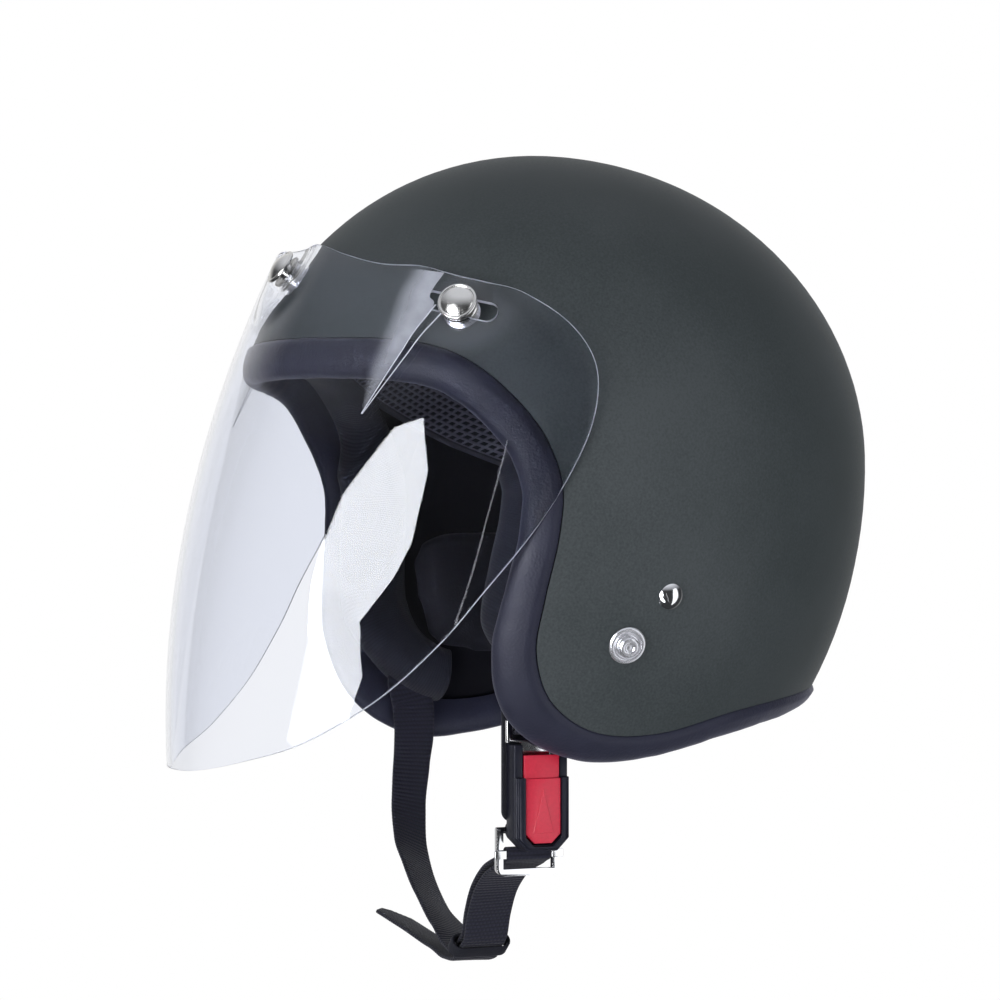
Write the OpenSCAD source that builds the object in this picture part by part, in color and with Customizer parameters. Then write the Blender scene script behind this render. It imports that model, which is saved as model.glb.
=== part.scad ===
// Open face motorcycle helmet with a snap-on clear shield and a one-touch chin strap buckle.
// Frame: the origin is the centre of the shell's dome, +X to the wearer's left, -Y forward, +Z up.

/* [Shell] */
// Half of the shell's width at its widest
half_width = 120; // [112:0.5:128]
// Reach of the shell in front of the dome centre
front_reach = 123; // [116:0.5:130]
// Reach of the shell behind the dome centre
rear_reach = 138; // [130:0.5:148]
// Height of the crown above the dome centre
crown_height = 124.5; // [118:0.5:132]
// Depth below the dome centre at which the lower curve would close
lower_depth = 165; // [156:0.5:176]
// Wall of the moulded shell
shell_wall = 3; // [2:0.1:4]
// Height of the brow edge on the middle plane
brow_height = 47; // [42:0.5:52]
// Bearing from the front of the deepest point of the face edge
face_bearing = 71.4; // [69:0.2:74]
// Bearing from the front of the jaw corner
jaw_bearing = 67.1; // [65:0.2:69]
// Height of the lower edge below the ears
hem_height = -104; // [-108:0.5:-100]
// Height of the lower edge at the nape
nape_height = -88; // [-92:0.5:-84]

/* [Liner and pads] */
// Wall of the impact foam
liner_wall = 25; // [20:0.5:28]
// Space between the shell and the foam
liner_gap = 0.6; // [0.5:0.1:0.9]
// Space between the foam and the pads that line it
pad_gap = 1.1; // [1:0.1:1.4]
// Thickness of a pad along its sewn rim
pad_rim = 2.5; // [1.5:0.5:4]
// Thickness of the crown pad at its middle
crown_pad_thick = 9; // [6:0.5:12]
// Thickness of the head band at its middle
head_band_thick = 8; // [5:0.5:11]
// Half of the height of a cheek pad
cheek_pad_reach = 31; // [26:0.5:34]
// Thickness of a cheek pad at its middle
cheek_pad_thick = 15; // [10:0.5:18]
// Half of the height of the neck pad
neck_pad_reach = 13; // [10:0.5:14]
// Thickness of the neck pad at its middle
neck_pad_thick = 10; // [6:0.5:13]
// Space between a pad's lower rim and the edge line, up the shell
pad_inset = 7; // [5:0.5:10]

/* [Edge trim] */
// Width of the padded trim along the brow and the face
trim_width = 15; // [12:0.5:17]
// Width of the trim at the jaw corner
trim_jaw_width = 19; // [15:0.5:21]
// Width of the trim below the ears
trim_hem_width = 13; // [10:0.5:15]
// Width of the trim at the nape
trim_nape_width = 9; // [7:0.5:12]
// Thickness of the trim, from outside to inside
trim_depth = 12; // [9:0.5:13]
// How far the trim stands proud of the shell
trim_proud = 1.5; // [0.5:0.1:2.5]
// Space between the shell's edge and the trim
trim_gap = 0.4; // [0.3:0.1:0.8]

/* [Snap fasteners] */
// Height of the middle brow snap
middle_snap_height = 71; // [66:0.5:76]
// Bearing of the side brow snaps from the front
brow_snap_bearing = 52.6; // [49:0.2:55]
// Height of the side brow snaps
brow_snap_height = 54; // [52:0.5:58]
// Bearing of the side snap studs from the front
side_snap_bearing = 84.7; // [82:0.2:88]
// Height of the side snap studs
side_snap_height = -69.5; // [-74:0.5:-66]
// Radius of a snap's base flange
snap_r = 7; // [6:0.1:7.5]
// Height of a brow stud below its dome
stud_height = 3.6; // [3:0.1:4.4]
// Radius of the dome that a socket closes over
stud_dome_r = 4.5; // [3.8:0.1:5]
// Radius of the side stud that a strap's socket closes over
side_stud_r = 4; // [3.4:0.1:4.6]
// Length of the side stud's straight wall
side_stud_length = 2.2; // [1.6:0.1:3]
// Radius of the posts that hold the studs to the shell
post_r = 2; // [1.6:0.1:2.3]
// Radius of a snap's cap
cap_r = 7.5; // [6.8:0.1:8]
// Height of a snap's cap
cap_height = 3.4; // [2.6:0.1:4.2]
// Clearance around posts, rivets and sockets
snap_clear = 0.2; // [0.15:0.01:0.3]

/* [Shield] */
// Wall of the clear shield
shield_wall = 2; // [1.5:0.1:2.5]
// Space between the shell's front and the shield, level with the dome centre
shield_stand = 13; // [10:0.5:18]
// How much tighter than the shell's half width the shield is bent
shield_tuck = 1; // [0:0.25:2]
// Height of the tab above the middle snap
shield_tab_height = 84.5; // [82:0.5:88]
// Depth of the shield's lower tip below the dome centre
shield_tip_depth = 119; // [112:0.5:126]
// Length of the slots at the side brow snaps
slot_length = 31; // [24:0.5:34]
// Space between a socket's neck and the edge of its hole
slot_clear = 0.6; // [0.5:0.1:1.2]
// Slope of those slots, down towards the back
slot_slope = 14; // [8:1:20]

/* [Chin strap] */
// Bearing of the strap rivets from the front
rivet_bearing = 92.4; // [90:0.2:95]
// Height of the strap rivets
rivet_height = -51.6; // [-55:0.2:-48]
// Radius of a strap rivet's dome
rivet_head_r = 5.2; // [4.4:0.1:6]
// Radius of a strap rivet's shank
rivet_r = 2.4; // [2:0.1:3]
// Height of the bush between the shell and the anchor plate
bush_height = 4; // [3.6:0.1:5]
// Thickness of the anchor plate
anchor_thick = 1.5; // [1.2:0.1:2]
// Width of the webbing
strap_width = 18.5; // [17:0.5:20]
// Thickness of the webbing
strap_thick = 1.5; // [1.2:0.1:1.7]
// How far in from the shell's widest side the long strap falls
strap_inset = 45.5; // [44:0.5:48]
// Depth of the strap's lowest place, inside its keeper, below the dome centre
strap_depth = 191; // [186:0.5:200]
// Place of the keeper to the left of the middle plane
keeper_x = 16; // [12:0.5:20]

/* [Buckle] */
// How far in from the shell's widest side the tongue hangs
tongue_inset = 50; // [49:0.5:53]
// Place of the buckle's middle in front of the dome centre
buckle_front = 30.5; // [29:0.5:34]
// Depth of the housing's upper end below the dome centre
buckle_top = 106.5; // [105:0.5:109]
// Length of the housing
buckle_length = 42; // [40:0.5:46]
// Width of the housing
buckle_width = 22; // [20:0.5:25]
// Thickness of the tongue
tongue_thick = 1.8; // [1.4:0.1:2.2]
// Width of the tongue's blade
tongue_width = 13; // [10:0.5:14]
// Wall of the housing's back
buckle_wall = 1.6; // [1.4:0.1:2.2]
// Width of the release button
button_width = 14.4; // [12:0.2:15.5]
// Travel of the release button
button_travel = 1.6; // [1.4:0.1:2]
// Clearance around the button and the tongue
buckle_clear = 0.3; // [0.2:0.05:0.45]
// Thickness of the adjuster's metal frame
adjuster_thick = 2.4; // [2:0.1:3]

/* [Hidden] */
$fn = 48;

// Shell edge on the wearer's left, brow to nape: bearing from the front, height, trim width
edge_half = [
    [0, brow_height, trim_width],
    [24, brow_height - 0.5, trim_width],
    [face_bearing - 26.7, brow_height - 3.5, trim_width],
    [face_bearing - 14.7, brow_height - 13, trim_width],
    [face_bearing - 4.7, brow_height - 33, trim_width],
    [face_bearing, brow_height - 55, trim_width],
    [face_bearing - 0.3, brow_height - 76, trim_width],
    [jaw_bearing + 1.6, hem_height + 52, trim_width],
    [jaw_bearing, hem_height + 31, (trim_width + trim_jaw_width) / 2],
    [jaw_bearing + 3.4, hem_height + 12.5, trim_jaw_width],
    [jaw_bearing + 13.6, hem_height + 1, (trim_jaw_width + trim_hem_width) / 2],
    [96, hem_height, trim_hem_width],
    [115.5, (hem_height + nape_height) / 2, trim_hem_width],
    [142, nape_height - 3, trim_nape_width + 2],
    [180, nape_height, trim_nape_width]];
edge_steps = 3;
half_count = len(edge_half) - 1;
loop_count = 2 * half_count;
shell_rows = 10;
dome_pole = [0, sin(28), cos(28)];

foam_outer = -(shell_wall + liner_gap);
foam_inner = foam_outer - liner_wall;
pad_seat = foam_inner - pad_gap;
pad_shares = [1, 0.94, 0.8, 0.55, 0.26];
pad_tilt = 22.8;
pad_pole = [0, sin(pad_tilt), cos(pad_tilt)];
crown_spread = 45;
band_high = 50;
band_low = 85;

shield_reach = front_reach + shield_stand;
shield_bend = half_width - shield_tuck;
shield_lift = stud_height + 3.2;
socket_base = stud_height + 0.25;
socket_top = shield_lift - 0.25;
neck_r = 3.3;
cap_base = shield_lift + shield_wall + 0.2;
dome_slope = 40;
flange_seat = 0.1;
inner_seat = 0.9;
post_head = 1.2;
shield_rings = [1, 0.95, 0.89, 0.82, 0.74, 0.6, 0.42, 0.22];

buckle_y = -buckle_front;
tongue_side = half_width - tongue_inset;
tongue_back = tongue_side - tongue_thick / 2;
tongue_face = tongue_side + tongue_thick / 2;
base_back = tongue_back - buckle_clear - buckle_wall;
pocket_floor = tongue_face + buckle_clear + 1.2;
button_back = pocket_floor + button_travel + buckle_clear;
base_face = button_back + 0.8;
cover_rim = 1.6;
cover_thick = 2.9;
button_step = 1.6;
button_thick = 2.9;
pointer_raise = 0.6;
housing_low = -(buckle_top + buckle_length);
cover_top = -(buckle_top + 14);
button_low = housing_low + 3;
button_high = -(buckle_top + 5.6);
tongue_tip = -(buckle_top + 30);
spring_z = button_low + 3;
flap_face = base_back - buckle_clear;
adjuster_x = base_back - 5.3;
adjuster_low = housing_low - 10.5;
bar_play = 0.4;
adjuster_rail = 2.6;
bar_end = 0.5;
bar_length = strap_width + 1.5;
adjuster_width = bar_length + 2 * (bar_play + adjuster_rail);
hinge_z = housing_low + 7;
hinge_r = 1.25;
hinge_clear = 0.08;
lug_r = 2.7;
lug_width = strap_width - 2;
bar_thick = 2;
bar_height = 3.2;
slide_bar_z = housing_low - 2.2;

// A point between b and c on a smooth curve through a, b, c and d
function smooth(a, b, c, d, t) = 0.5 * (2 * b + (c - a) * t + (2 * a - 5 * b + 4 * c - d) * t * t
    + (3 * b - a - 3 * c + d) * t * t * t);

// A smooth run through a list of points, with so many steps from each to the next
function smooth_run(p, steps) = let (last = len(p) - 1)
    [for (i = [0:last - 1], k = [0:steps - (i == last - 1 ? 0 : 1)])
        smooth(p[max(i - 1, 0)], p[i], p[i + 1], p[min(i + 2, last)], k / steps)];

function unit(v) = v / norm(v);
function ease(t) = let (c = min(max(t, 0), 1)) c * c * (3 - 2 * c);

// Direction from the dome centre, on a sphere of radius 1, at a bearing and a height on the shell
function toward(bearing, height) = let (k = height / (height > 0 ? crown_height : lower_depth),
    h = sqrt(1 - k * k)) [h * sin(bearing), -h * cos(bearing), k];

// Point in that direction on the shell's outside, grown by so much
function skin(d, grow) = [d.x * (half_width + grow),
    d.y * ((d.y < 0 ? front_reach : rear_reach) + grow),
    d.z * ((d.z > 0 ? crown_height : lower_depth) + grow)];

// Outward normal of the shell in that direction
function outward(d) = unit([d.x / half_width, d.y / (d.y < 0 ? front_reach : rear_reach),
    d.z / (d.z > 0 ? crown_height : lower_depth)]);

// Direction a share of the way from a to b round the sphere
function between(a, b, share) = let (w = acos(a * b))
    (sin((1 - share) * w) * a + sin(share * w) * b) / sin(w);

// The closed edge line: bearing, height and trim width at a place counted in control points
function edge_control(i) = let (k = (i + loop_count) % loop_count, turn = 360 * floor(i / loop_count),
    p = edge_half[k <= half_count ? k : loop_count - k])
    [turn + (k <= half_count ? p[0] : 360 - p[0]), p[1], p[2]];
function edge_at(s) = let (i = floor(s))
    smooth(edge_control(i - 1), edge_control(i), edge_control(i + 1), edge_control(i + 2), s - i);
function edge_line(steps) = [for (s = [0:loop_count * steps - 1]) edge_at(s / steps)];
function edge_toward(steps) = [for (e = edge_line(steps)) toward(e[0], e[1])];

// Closed body between two skins, each a list of rings from the rim to the middle, and a middle point
module between_skins(outer, outer_middle, inner, inner_middle) {
    n = len(outer[0]);
    m = len(outer);
    side = m * n + 1;
    points = concat([for (ring = outer) each ring], [outer_middle],
        [for (ring = inner) each ring], [inner_middle]);
    faces = concat(
        [for (j = [0:m - 2], i = [0:n - 1]) let (k = (i + 1) % n, a = j * n, b = a + n)
            each [[a + i, b + k, a + k], [a + i, b + i, b + k]]],
        [for (i = [0:n - 1]) [m * n - n + i, m * n, m * n - n + (i + 1) % n]],
        [for (j = [0:m - 2], i = [0:n - 1]) let (k = (i + 1) % n, a = side + j * n, b = a + n)
            each [[a + i, a + k, b + k], [a + i, b + k, b + i]]],
        [for (i = [0:n - 1]) [side + m * n - n + i, side + m * n - n + (i + 1) % n, side + m * n]],
        [for (i = [0:n - 1]) let (k = (i + 1) % n) each [[i, k, side + k], [i, side + k, side + i]]]);
    polyhedron(points, faces);
}

// Body swept through rings of equal count, either closed on itself or capped at its ends
module swept(rings, closed) {
    n = len(rings[0]);
    m = len(rings);
    walls = [for (j = [0:m - (closed ? 1 : 2)], i = [0:n - 1])
        let (k = (i + 1) % n, a = j * n, b = ((j + 1) % m) * n)
        each [[a + i, a + k, b + k], [a + i, b + k, b + i]]];
    caps = closed ? [] : [[for (i = [n - 1:-1:0]) i], [for (i = [0:n - 1]) (m - 1) * n + i]];
    polyhedron([for (ring = rings) each ring], concat(walls, caps));
}

// Flat webbing along a run of points, each with the direction of its width; the tip is cut to a point
module webbing(path, across, width, thick, pointed) {
    last = len(path) - 1;
    rings = [for (i = [0:last])
        let (along = unit(path[min(i + 1, last)] - path[max(i - 1, 0)]),
            up = unit(cross(across[i], along)), side = unit(cross(along, up)),
            half = (pointed && i == last ? 0.3 : 1) * width / 2)
        [path[i] + side * half + up * thick / 2, path[i] - side * half + up * thick / 2,
            path[i] - side * half - up * thick / 2, path[i] + side * half - up * thick / 2]];
    swept(rings, false);
}

// A place on the shell, with the shell's outward normal as the local Z
module on_shell(bearing, height) {
    d = toward(bearing, height);
    n = outward(d);
    side = unit([-n.y, n.x, 0]);
    rise = cross(n, side);
    at = skin(d, 0);
    multmatrix([[side.x, rise.x, n.x, at.x], [side.y, rise.y, n.y, at.y], [side.z, rise.z, n.z, at.z]])
        children();
}

module both_sides() {
    children();
    mirror([1, 0, 0]) children();
}

module at_brow_snaps() {
    on_shell(0, middle_snap_height) children();
    both_sides() on_shell(brow_snap_bearing, brow_snap_height) children();
}

module at_side_snaps() both_sides() on_shell(side_snap_bearing, side_snap_height) children();

// Frame of a strap anchor: local X runs down along the strap, local Z is the shell's outward normal
rivet_toward = toward(rivet_bearing, rivet_height);
rivet_at = skin(rivet_toward, 0);
rivet_out = outward(rivet_toward);
strap_pull = [tongue_side, buckle_y, -buckle_top + 7] - rivet_at;
strap_down = unit(strap_pull - (strap_pull * rivet_out) * rivet_out);
strap_side = cross(rivet_out, strap_down);
function at_anchor(down, out) = rivet_at + down * strap_down + out * rivet_out;

module at_strap_rivets() both_sides()
    multmatrix([[strap_down.x, strap_side.x, rivet_out.x, rivet_at.x],
        [strap_down.y, strap_side.y, rivet_out.y, rivet_at.y],
        [strap_down.z, strap_side.z, rivet_out.z, rivet_at.z]]) children();

anchor_out = -(shell_wall + inner_seat + bush_height + 0.1);
anchor_in = anchor_out - anchor_thick;
anchor_slot = 9.5;
anchor_bar = 14.5;
anchor_end = 18;
anchor_width = strap_width + 7;

// Layer of the dome between two depths, cut off at the shell's edge line
module dome_layer(outer, inner) {
    rim = edge_toward(edge_steps);
    function rings(grow) = [for (j = [0:shell_rows - 1])
        [for (d = rim) skin(between(dome_pole, d, 1 - j / shell_rows), grow)]];
    between_skins(rings(outer), skin(dome_pole, outer), rings(inner), skin(dome_pole, inner));
}

// Hole through the shell for a post or a rivet
module shell_hole(r) translate([0, 0, -2 * shell_wall]) cylinder(r = r + snap_clear, h = 4 * shell_wall);

module outer_shell() color([0.15, 0.17, 0.14]) difference() {
    dome_layer(0, -shell_wall);
    at_brow_snaps() shell_hole(post_r);
    at_side_snaps() shell_hole(post_r);
    at_strap_rivets() shell_hole(rivet_r);
}

module impact_liner() color([0.12, 0.12, 0.12]) difference() {
    dome_layer(foam_outer, foam_inner);
    at_brow_snaps() post_pocket();
    at_side_snaps() post_pocket();
    at_strap_rivets() strap_pocket();
}

// Room in the foam for the inner head of a stud's post
module post_pocket() translate([0, 0, -shell_wall - inner_seat - post_head - 1.5])
    cylinder(r = 2 * post_r + 2.5, h = 3 * shell_wall);

// Room in the foam for the anchor plate and for the webbing that leaves it
module strap_pocket() translate([0, anchor_width / 2 + 2, 0]) rotate([90, 0, 0])
    linear_extrude(anchor_width + 4)
        polygon([[-14, 4], [90, 4], [90, anchor_in - 34], [20, anchor_in - 6], [-14, anchor_in - 4]]);

// Thickness of a pad at a share of the way from its middle to its rim
function pad_full(share, thick) = pad_rim + (thick - pad_rim) * sqrt(1 - pow(share, 4));

// Soft pad on the foam: bearing and height of its middle, its half spans, its thickness
module pad(bearing, height, half_bearing, half_height, thick) {
    corner = 0.5;
    count = 32;
    middle = toward(bearing, height);
    function swell(v) = sign(v) * pow(abs(v), corner);
    function around(i, share) = let (a = 360 * (i + 0.5) / count)
        toward(bearing + share * half_bearing * swell(cos(a)), height + share * half_height * swell(sin(a)));
    function rings(thick) = [for (s = pad_shares)
        [for (i = [0:count - 1]) skin(around(i, s), pad_seat - (thick > 0 ? pad_full(s, thick) : 0))]];
    between_skins(rings(0), skin(middle, pad_seat), rings(thick), skin(middle, pad_seat - thick));
}

// Direction at an angle from the pole of the head pads and a turn round it
function round_pole(angle, turn) = cos(angle) * pad_pole + sin(angle)
    * [cos(turn), sin(turn) * cos(pad_tilt), -sin(turn) * sin(pad_tilt)];

module crown_pad() {
    count = 36;
    function rings(thick) = [for (s = pad_shares)
        let (grow = pad_seat - (thick > 0 ? pad_full(s, thick) : 0))
        [for (i = [0:count - 1]) skin(round_pole(s * crown_spread, 360 * i / count), grow)]];
    color([0.05, 0.05, 0.06]) between_skins(rings(0), skin(pad_pole, pad_seat),
        rings(crown_pad_thick), skin(pad_pole, pad_seat - crown_pad_thick));
}

// Band that closes on the head all round, below the crown pad and square to their common pole
module head_band() {
    count = 72;
    steps = 6;
    function down(k) = band_high + (band_low - band_high) * k / steps;
    function section(turn) = concat(
        [for (k = [0:2:steps]) skin(round_pole(down(k), turn), pad_seat)],
        [for (k = [steps:-1:0])
            skin(round_pole(down(k), turn), pad_seat - pad_full(2 * k / steps - 1, head_band_thick))]);
    color([0.06, 0.06, 0.07]) swept([for (i = [0:count - 1]) section(-360 * i / count)], true);
}

module left_cheek_pad() color([0.05, 0.05, 0.06])
    pad(jaw_bearing + 31, hem_height + pad_inset + cheek_pad_reach, 21, cheek_pad_reach, cheek_pad_thick);

module right_cheek_pad() mirror([1, 0, 0]) left_cheek_pad();

module neck_pad() color([0.05, 0.05, 0.06])
    pad(180, nape_height + pad_inset + neck_pad_reach, 50, neck_pad_reach, neck_pad_thick);

module edge_trim() color([0.1, 0.1, 0.12]) {
    line = edge_line(edge_steps);
    at = [for (e = line) skin(toward(e[0], e[1]), 0)];
    count = len(line);
    section_steps = 8;
    rings = [for (i = [0:count - 1])
        let (out = outward(toward(line[i][0], line[i][1])),
            along = unit(at[(i + 1) % count] - at[(i + count - 1) % count]),
            away = unit(cross(out, along)) * -1,
            middle = trim_proud - trim_depth / 2)
        [for (k = [0:section_steps]) let (a = 180 * k / section_steps - 90)
            at[i] + away * (trim_gap + (line[i][2] - trim_gap) * pow(max(cos(a), 0), 0.7))
                + out * (middle + trim_depth / 2 * sin(a))]];
    swept(rings, true);
}

// Front of the shield on the middle plane at a height, and the radius of its bend there
function shield_front(z) = let (t = z / shield_reach)
    shield_reach * (-1 + 0.2844 * t + 0.1686 * t * t);
function shield_radius(z) = let (t = z / shield_bend)
    shield_bend * (1 + 0.174 * t - 0.2749 * t * t + 0.0715 * t * t * t);

// Shield outline on the wearer's left, from the tab to the lower tip: bearing round the bend, height
// Heights are shares of the tab's height above the dome centre and of the tip's depth below it
shield_upper = [[0, 1], [11, 0.992], [21, 0.93], [31, 0.876], [42, 0.852], [54, 0.79], [66, 0.662],
    [74, 0.52], [79, 0.355], [81.5, 0.13]];
shield_lower = [[81.4, 0.084], [80, 0.252], [77.6, 0.42], [75.5, 0.588], [70, 0.765], [58, 0.895],
    [40, 0.958], [20, 0.993], [0, 1]];
shield_half = concat([for (p = shield_upper) [p.x, p.y * shield_tab_height]],
    [for (p = shield_lower) [p.x, -p.y * shield_tip_depth]]);
shield_middle = [0, -0.1 * shield_tip_depth];
seat_fade = 14;
shield_last = len(shield_half) - 1;
function shield_control(i) = let (count = 2 * shield_last, k = (i + count) % count)
    k <= shield_last ? [-shield_half[k].x, shield_half[k].y]
        : [shield_half[count - k].x, shield_half[count - k].y];
shield_edge = [for (i = [0:2 * shield_last - 1], t = [0, 0.5])
    smooth(shield_control(i - 1), shield_control(i), shield_control(i + 1), shield_control(i + 2), t)];

// The shield lies flat against a snap: pull of a point towards the snap's seat, fading out round it
function to_seat(p, bearing, height, lift) = let (d = toward(bearing, height), n = outward(d),
    q = p - skin(d, 0), out = q * n, wide = norm(q - out * n))
    (1 - ease((wide - snap_r - 5) / seat_fade)) * (lift - out) * n;

// Point of the shield: bearing round the bend, height, distance out from its inner face
function shield_at(b, z, out) = let (r = shield_radius(z) + out,
    p = [r * sin(b), shield_front(z) + shield_radius(z) - r * cos(b), z],
    lift = shield_lift + out)
    p + to_seat(p, 0, middle_snap_height, lift) + to_seat(p, brow_snap_bearing, brow_snap_height, lift)
        + to_seat(p, -brow_snap_bearing, brow_snap_height, lift);

module shield() color([0.8, 0.82, 0.9, 0.4]) difference() {
    between_skins(
        [for (s = shield_rings) [for (e = shield_edge)
            let (q = shield_middle + s * (e - shield_middle)) shield_at(q.x, q.y, shield_wall)]],
        shield_at(shield_middle.x, shield_middle.y, shield_wall),
        [for (s = shield_rings) [for (e = shield_edge)
            let (q = shield_middle + s * (e - shield_middle)) shield_at(q.x, q.y, 0)]],
        shield_at(shield_middle.x, shield_middle.y, 0));
    on_shell(0, middle_snap_height) shield_cut() circle(neck_r + slot_clear);
    both_sides() on_shell(brow_snap_bearing, brow_snap_height) shield_cut() rotate(-slot_slope)
        stadium(slot_length, neck_r + slot_clear);
}

module shield_cut() translate([0, 0, shield_lift - 4]) linear_extrude(shield_wall + 8) children();

// Straight sided outline with round ends, its length along local X
module stadium(length, r) {
    half = length / 2 - r;
    square([2 * half, 2 * r], center = true);
    for (x = [-half, half]) translate([x, 0]) circle(r);
}

// Half outline of a dome from its rim to its top: radius, rim height and rim slope
function dome(r, base, slope) = let (ball = r / sin(slope))
    [for (k = [0:8]) let (a = slope * (1 - k / 8)) [ball * sin(a), base + ball * (cos(a) - cos(slope))]];

module brow_snap_studs() color("silver") at_brow_snaps() rotate_extrude() polygon(concat(
    [[post_r + snap_clear, flange_seat], [snap_r, flange_seat], [snap_r, 1.1], [stud_dome_r + 1, 1.6],
        [stud_dome_r + 1, stud_height]],
    dome(stud_dome_r, stud_height, dome_slope),
    [[0, stud_height - 1], [post_r + snap_clear, stud_height - 1]]));

module snap_sockets() color("silver") at_brow_snaps() rotate_extrude() polygon(concat(
    [[neck_r - 1.5, socket_top - 0.7], [neck_r - 1.5, cap_base - 0.2], [neck_r, cap_base - 0.2],
        [neck_r, socket_top], [snap_r - 0.6, socket_top], [snap_r, socket_top - 0.6],
        [snap_r, socket_base + 0.5], [snap_r - 0.5, socket_base]],
    dome(stud_dome_r + snap_clear, socket_base, dome_slope),
    [[0, socket_top - 0.7]]));

module snap_caps() color("silver") at_brow_snaps() rotate_extrude() {
    stem_r = neck_r - 1.5 - snap_clear;
    crown_r = cap_r - 0.6;
    rim = 1.5;
    polygon(concat([[0, socket_top - 0.5], [stem_r, socket_top - 0.5], [stem_r, cap_base],
        [cap_r - 0.3, cap_base], [cap_r, cap_base + 0.3], [cap_r, cap_base + rim - 0.3]],
        dome(crown_r, cap_base + rim, 2 * atan((cap_height - rim) / crown_r))));
}

module side_snap_studs() color("silver") at_side_snaps() rotate_extrude() {
    foot = 0.8;
    top = foot + side_stud_length;
    polygon([[post_r + snap_clear, flange_seat], [snap_r + 0.3, flange_seat], [snap_r + 0.3, foot],
        [snap_r - 0.4, foot + 0.6], [snap_r - 1.6, foot + 0.6], [snap_r - 2.2, foot], [side_stud_r, foot],
        [side_stud_r, top], [side_stud_r - 0.8, top + 0.6], [side_stud_r - 2.2, top + 0.6],
        [side_stud_r - 2.6, top + 0.1], [0, top + 0.1], [0, top - 0.4], [post_r + snap_clear, top - 0.4]]);
}

// Post of a snap stud: its head inside the shell, its shank through the shell and into the stud
module stud_post(reach) rotate_extrude() {
    seat = -shell_wall - inner_seat;
    polygon([[0, reach], [post_r, reach], [post_r, seat], [2 * post_r, seat],
        [1.9 * post_r, seat - post_head + 0.2], [0, seat - post_head]]);
}

module stud_posts() color("gray") {
    at_brow_snaps() stud_post(stud_height - 1.2);
    at_side_snaps() stud_post(0.2 + side_stud_length);
}

module strap_rivets() color("silver") at_strap_rivets() rotate_extrude() polygon(concat(
    [[0, anchor_in - 1.4], [rivet_r + 1.8, anchor_in - 1.4], [rivet_r + 2.2, anchor_in - 0.2],
        [rivet_r, anchor_in - 0.2], [rivet_r, flange_seat]],
    dome(rivet_head_r, flange_seat, 50)));

module rivet_bushes() color("gray") at_strap_rivets() translate([0, 0, anchor_out + 0.1]) difference() {
    cylinder(r = rivet_r + 3.2, h = bush_height);
    translate([0, 0, -1]) cylinder(r = rivet_r + snap_clear, h = bush_height + 2);
}

module anchor_plates() color("gray") at_strap_rivets() translate([0, 0, anchor_in])
    linear_extrude(anchor_thick) difference() {
        eye_r = rivet_r + 5.6;
        slot_width = strap_width + 2;
        union() {
            circle(eye_r);
            translate([0, -eye_r]) square([anchor_slot, 2 * eye_r]);
            translate([anchor_slot - 4, -anchor_width / 2])
                square([anchor_end - anchor_slot + 4, anchor_width]);
        }
        circle(rivet_r + snap_clear);
        translate([anchor_slot, -slot_width / 2]) square([anchor_bar - anchor_slot, slot_width]);
    }

// Fold of a strap round the bar of its anchor plate, from its sewn end to the run that leaves it: down, out
fold_gap = 0.5 + strap_thick / 2;
anchor_turn = anchor_thick / 2 + fold_gap;
anchor_fold = concat([[anchor_bar + 2.4, anchor_out + fold_gap]],
    [for (a = [90:45:270]) [anchor_bar + anchor_thick / 2 + anchor_turn * cos(a),
        anchor_out - anchor_thick / 2 + anchor_turn * sin(a)]],
    [[anchor_end + 1, anchor_in - fold_gap - 0.4], [anchor_end + 7, anchor_in - fold_gap - 2.2]]);
left_fold = [for (p = anchor_fold) at_anchor(p.x, p.y)];

// Fold of the left strap round the bar of the tongue
tongue_bar_low = -buckle_top + 4;
tongue_bar_high = tongue_bar_low + 3.5;
tongue_turn = tongue_thick / 2 + fold_gap;
tongue_fold = [for (p = concat(
    [[tongue_face + fold_gap + 3.5, tongue_bar_high + 3], [tongue_face + fold_gap + 0.3, tongue_bar_low + 3]],
    [for (a = [0:-45:-180]) [tongue_side + tongue_turn * cos(a),
        tongue_bar_low + tongue_thick / 2 + tongue_turn * sin(a)]],
    [[tongue_back - fold_gap, tongue_bar_high + 5]])) [p.x, buckle_y, p.y]];

module left_strap() color([0.07, 0.07, 0.08]) {
    leaves = left_fold[len(left_fold) - 1];
    straight = [for (share = [0.35, 0.65, 0.87]) leaves + share * (tongue_fold[0] - leaves)];
    path = smooth_run(concat(left_fold, straight, tongue_fold), 3);
    turn = 3 * len(left_fold);
    across = [for (i = [0:len(path) - 1])
        let (t = ease((i - turn) / 9)) unit((1 - t) * strap_side + [0, t, 0])];
    webbing(path, across, strap_width, strap_thick, false);
}

// Place inside the keeper: distance along the strap towards the buckle, and in from the keeper's middle
keeper_turn = 40;
keeper_layer = strap_thick / 2 + 0.75;
chin_y = buckle_y - 0.5;
strap_low = -strap_depth;
function in_keeper(along, inward) = [keeper_x + along * cos(keeper_turn) - inward * sin(keeper_turn), chin_y,
    strap_low + along * sin(keeper_turn) + inward * cos(keeper_turn), 0];

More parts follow.
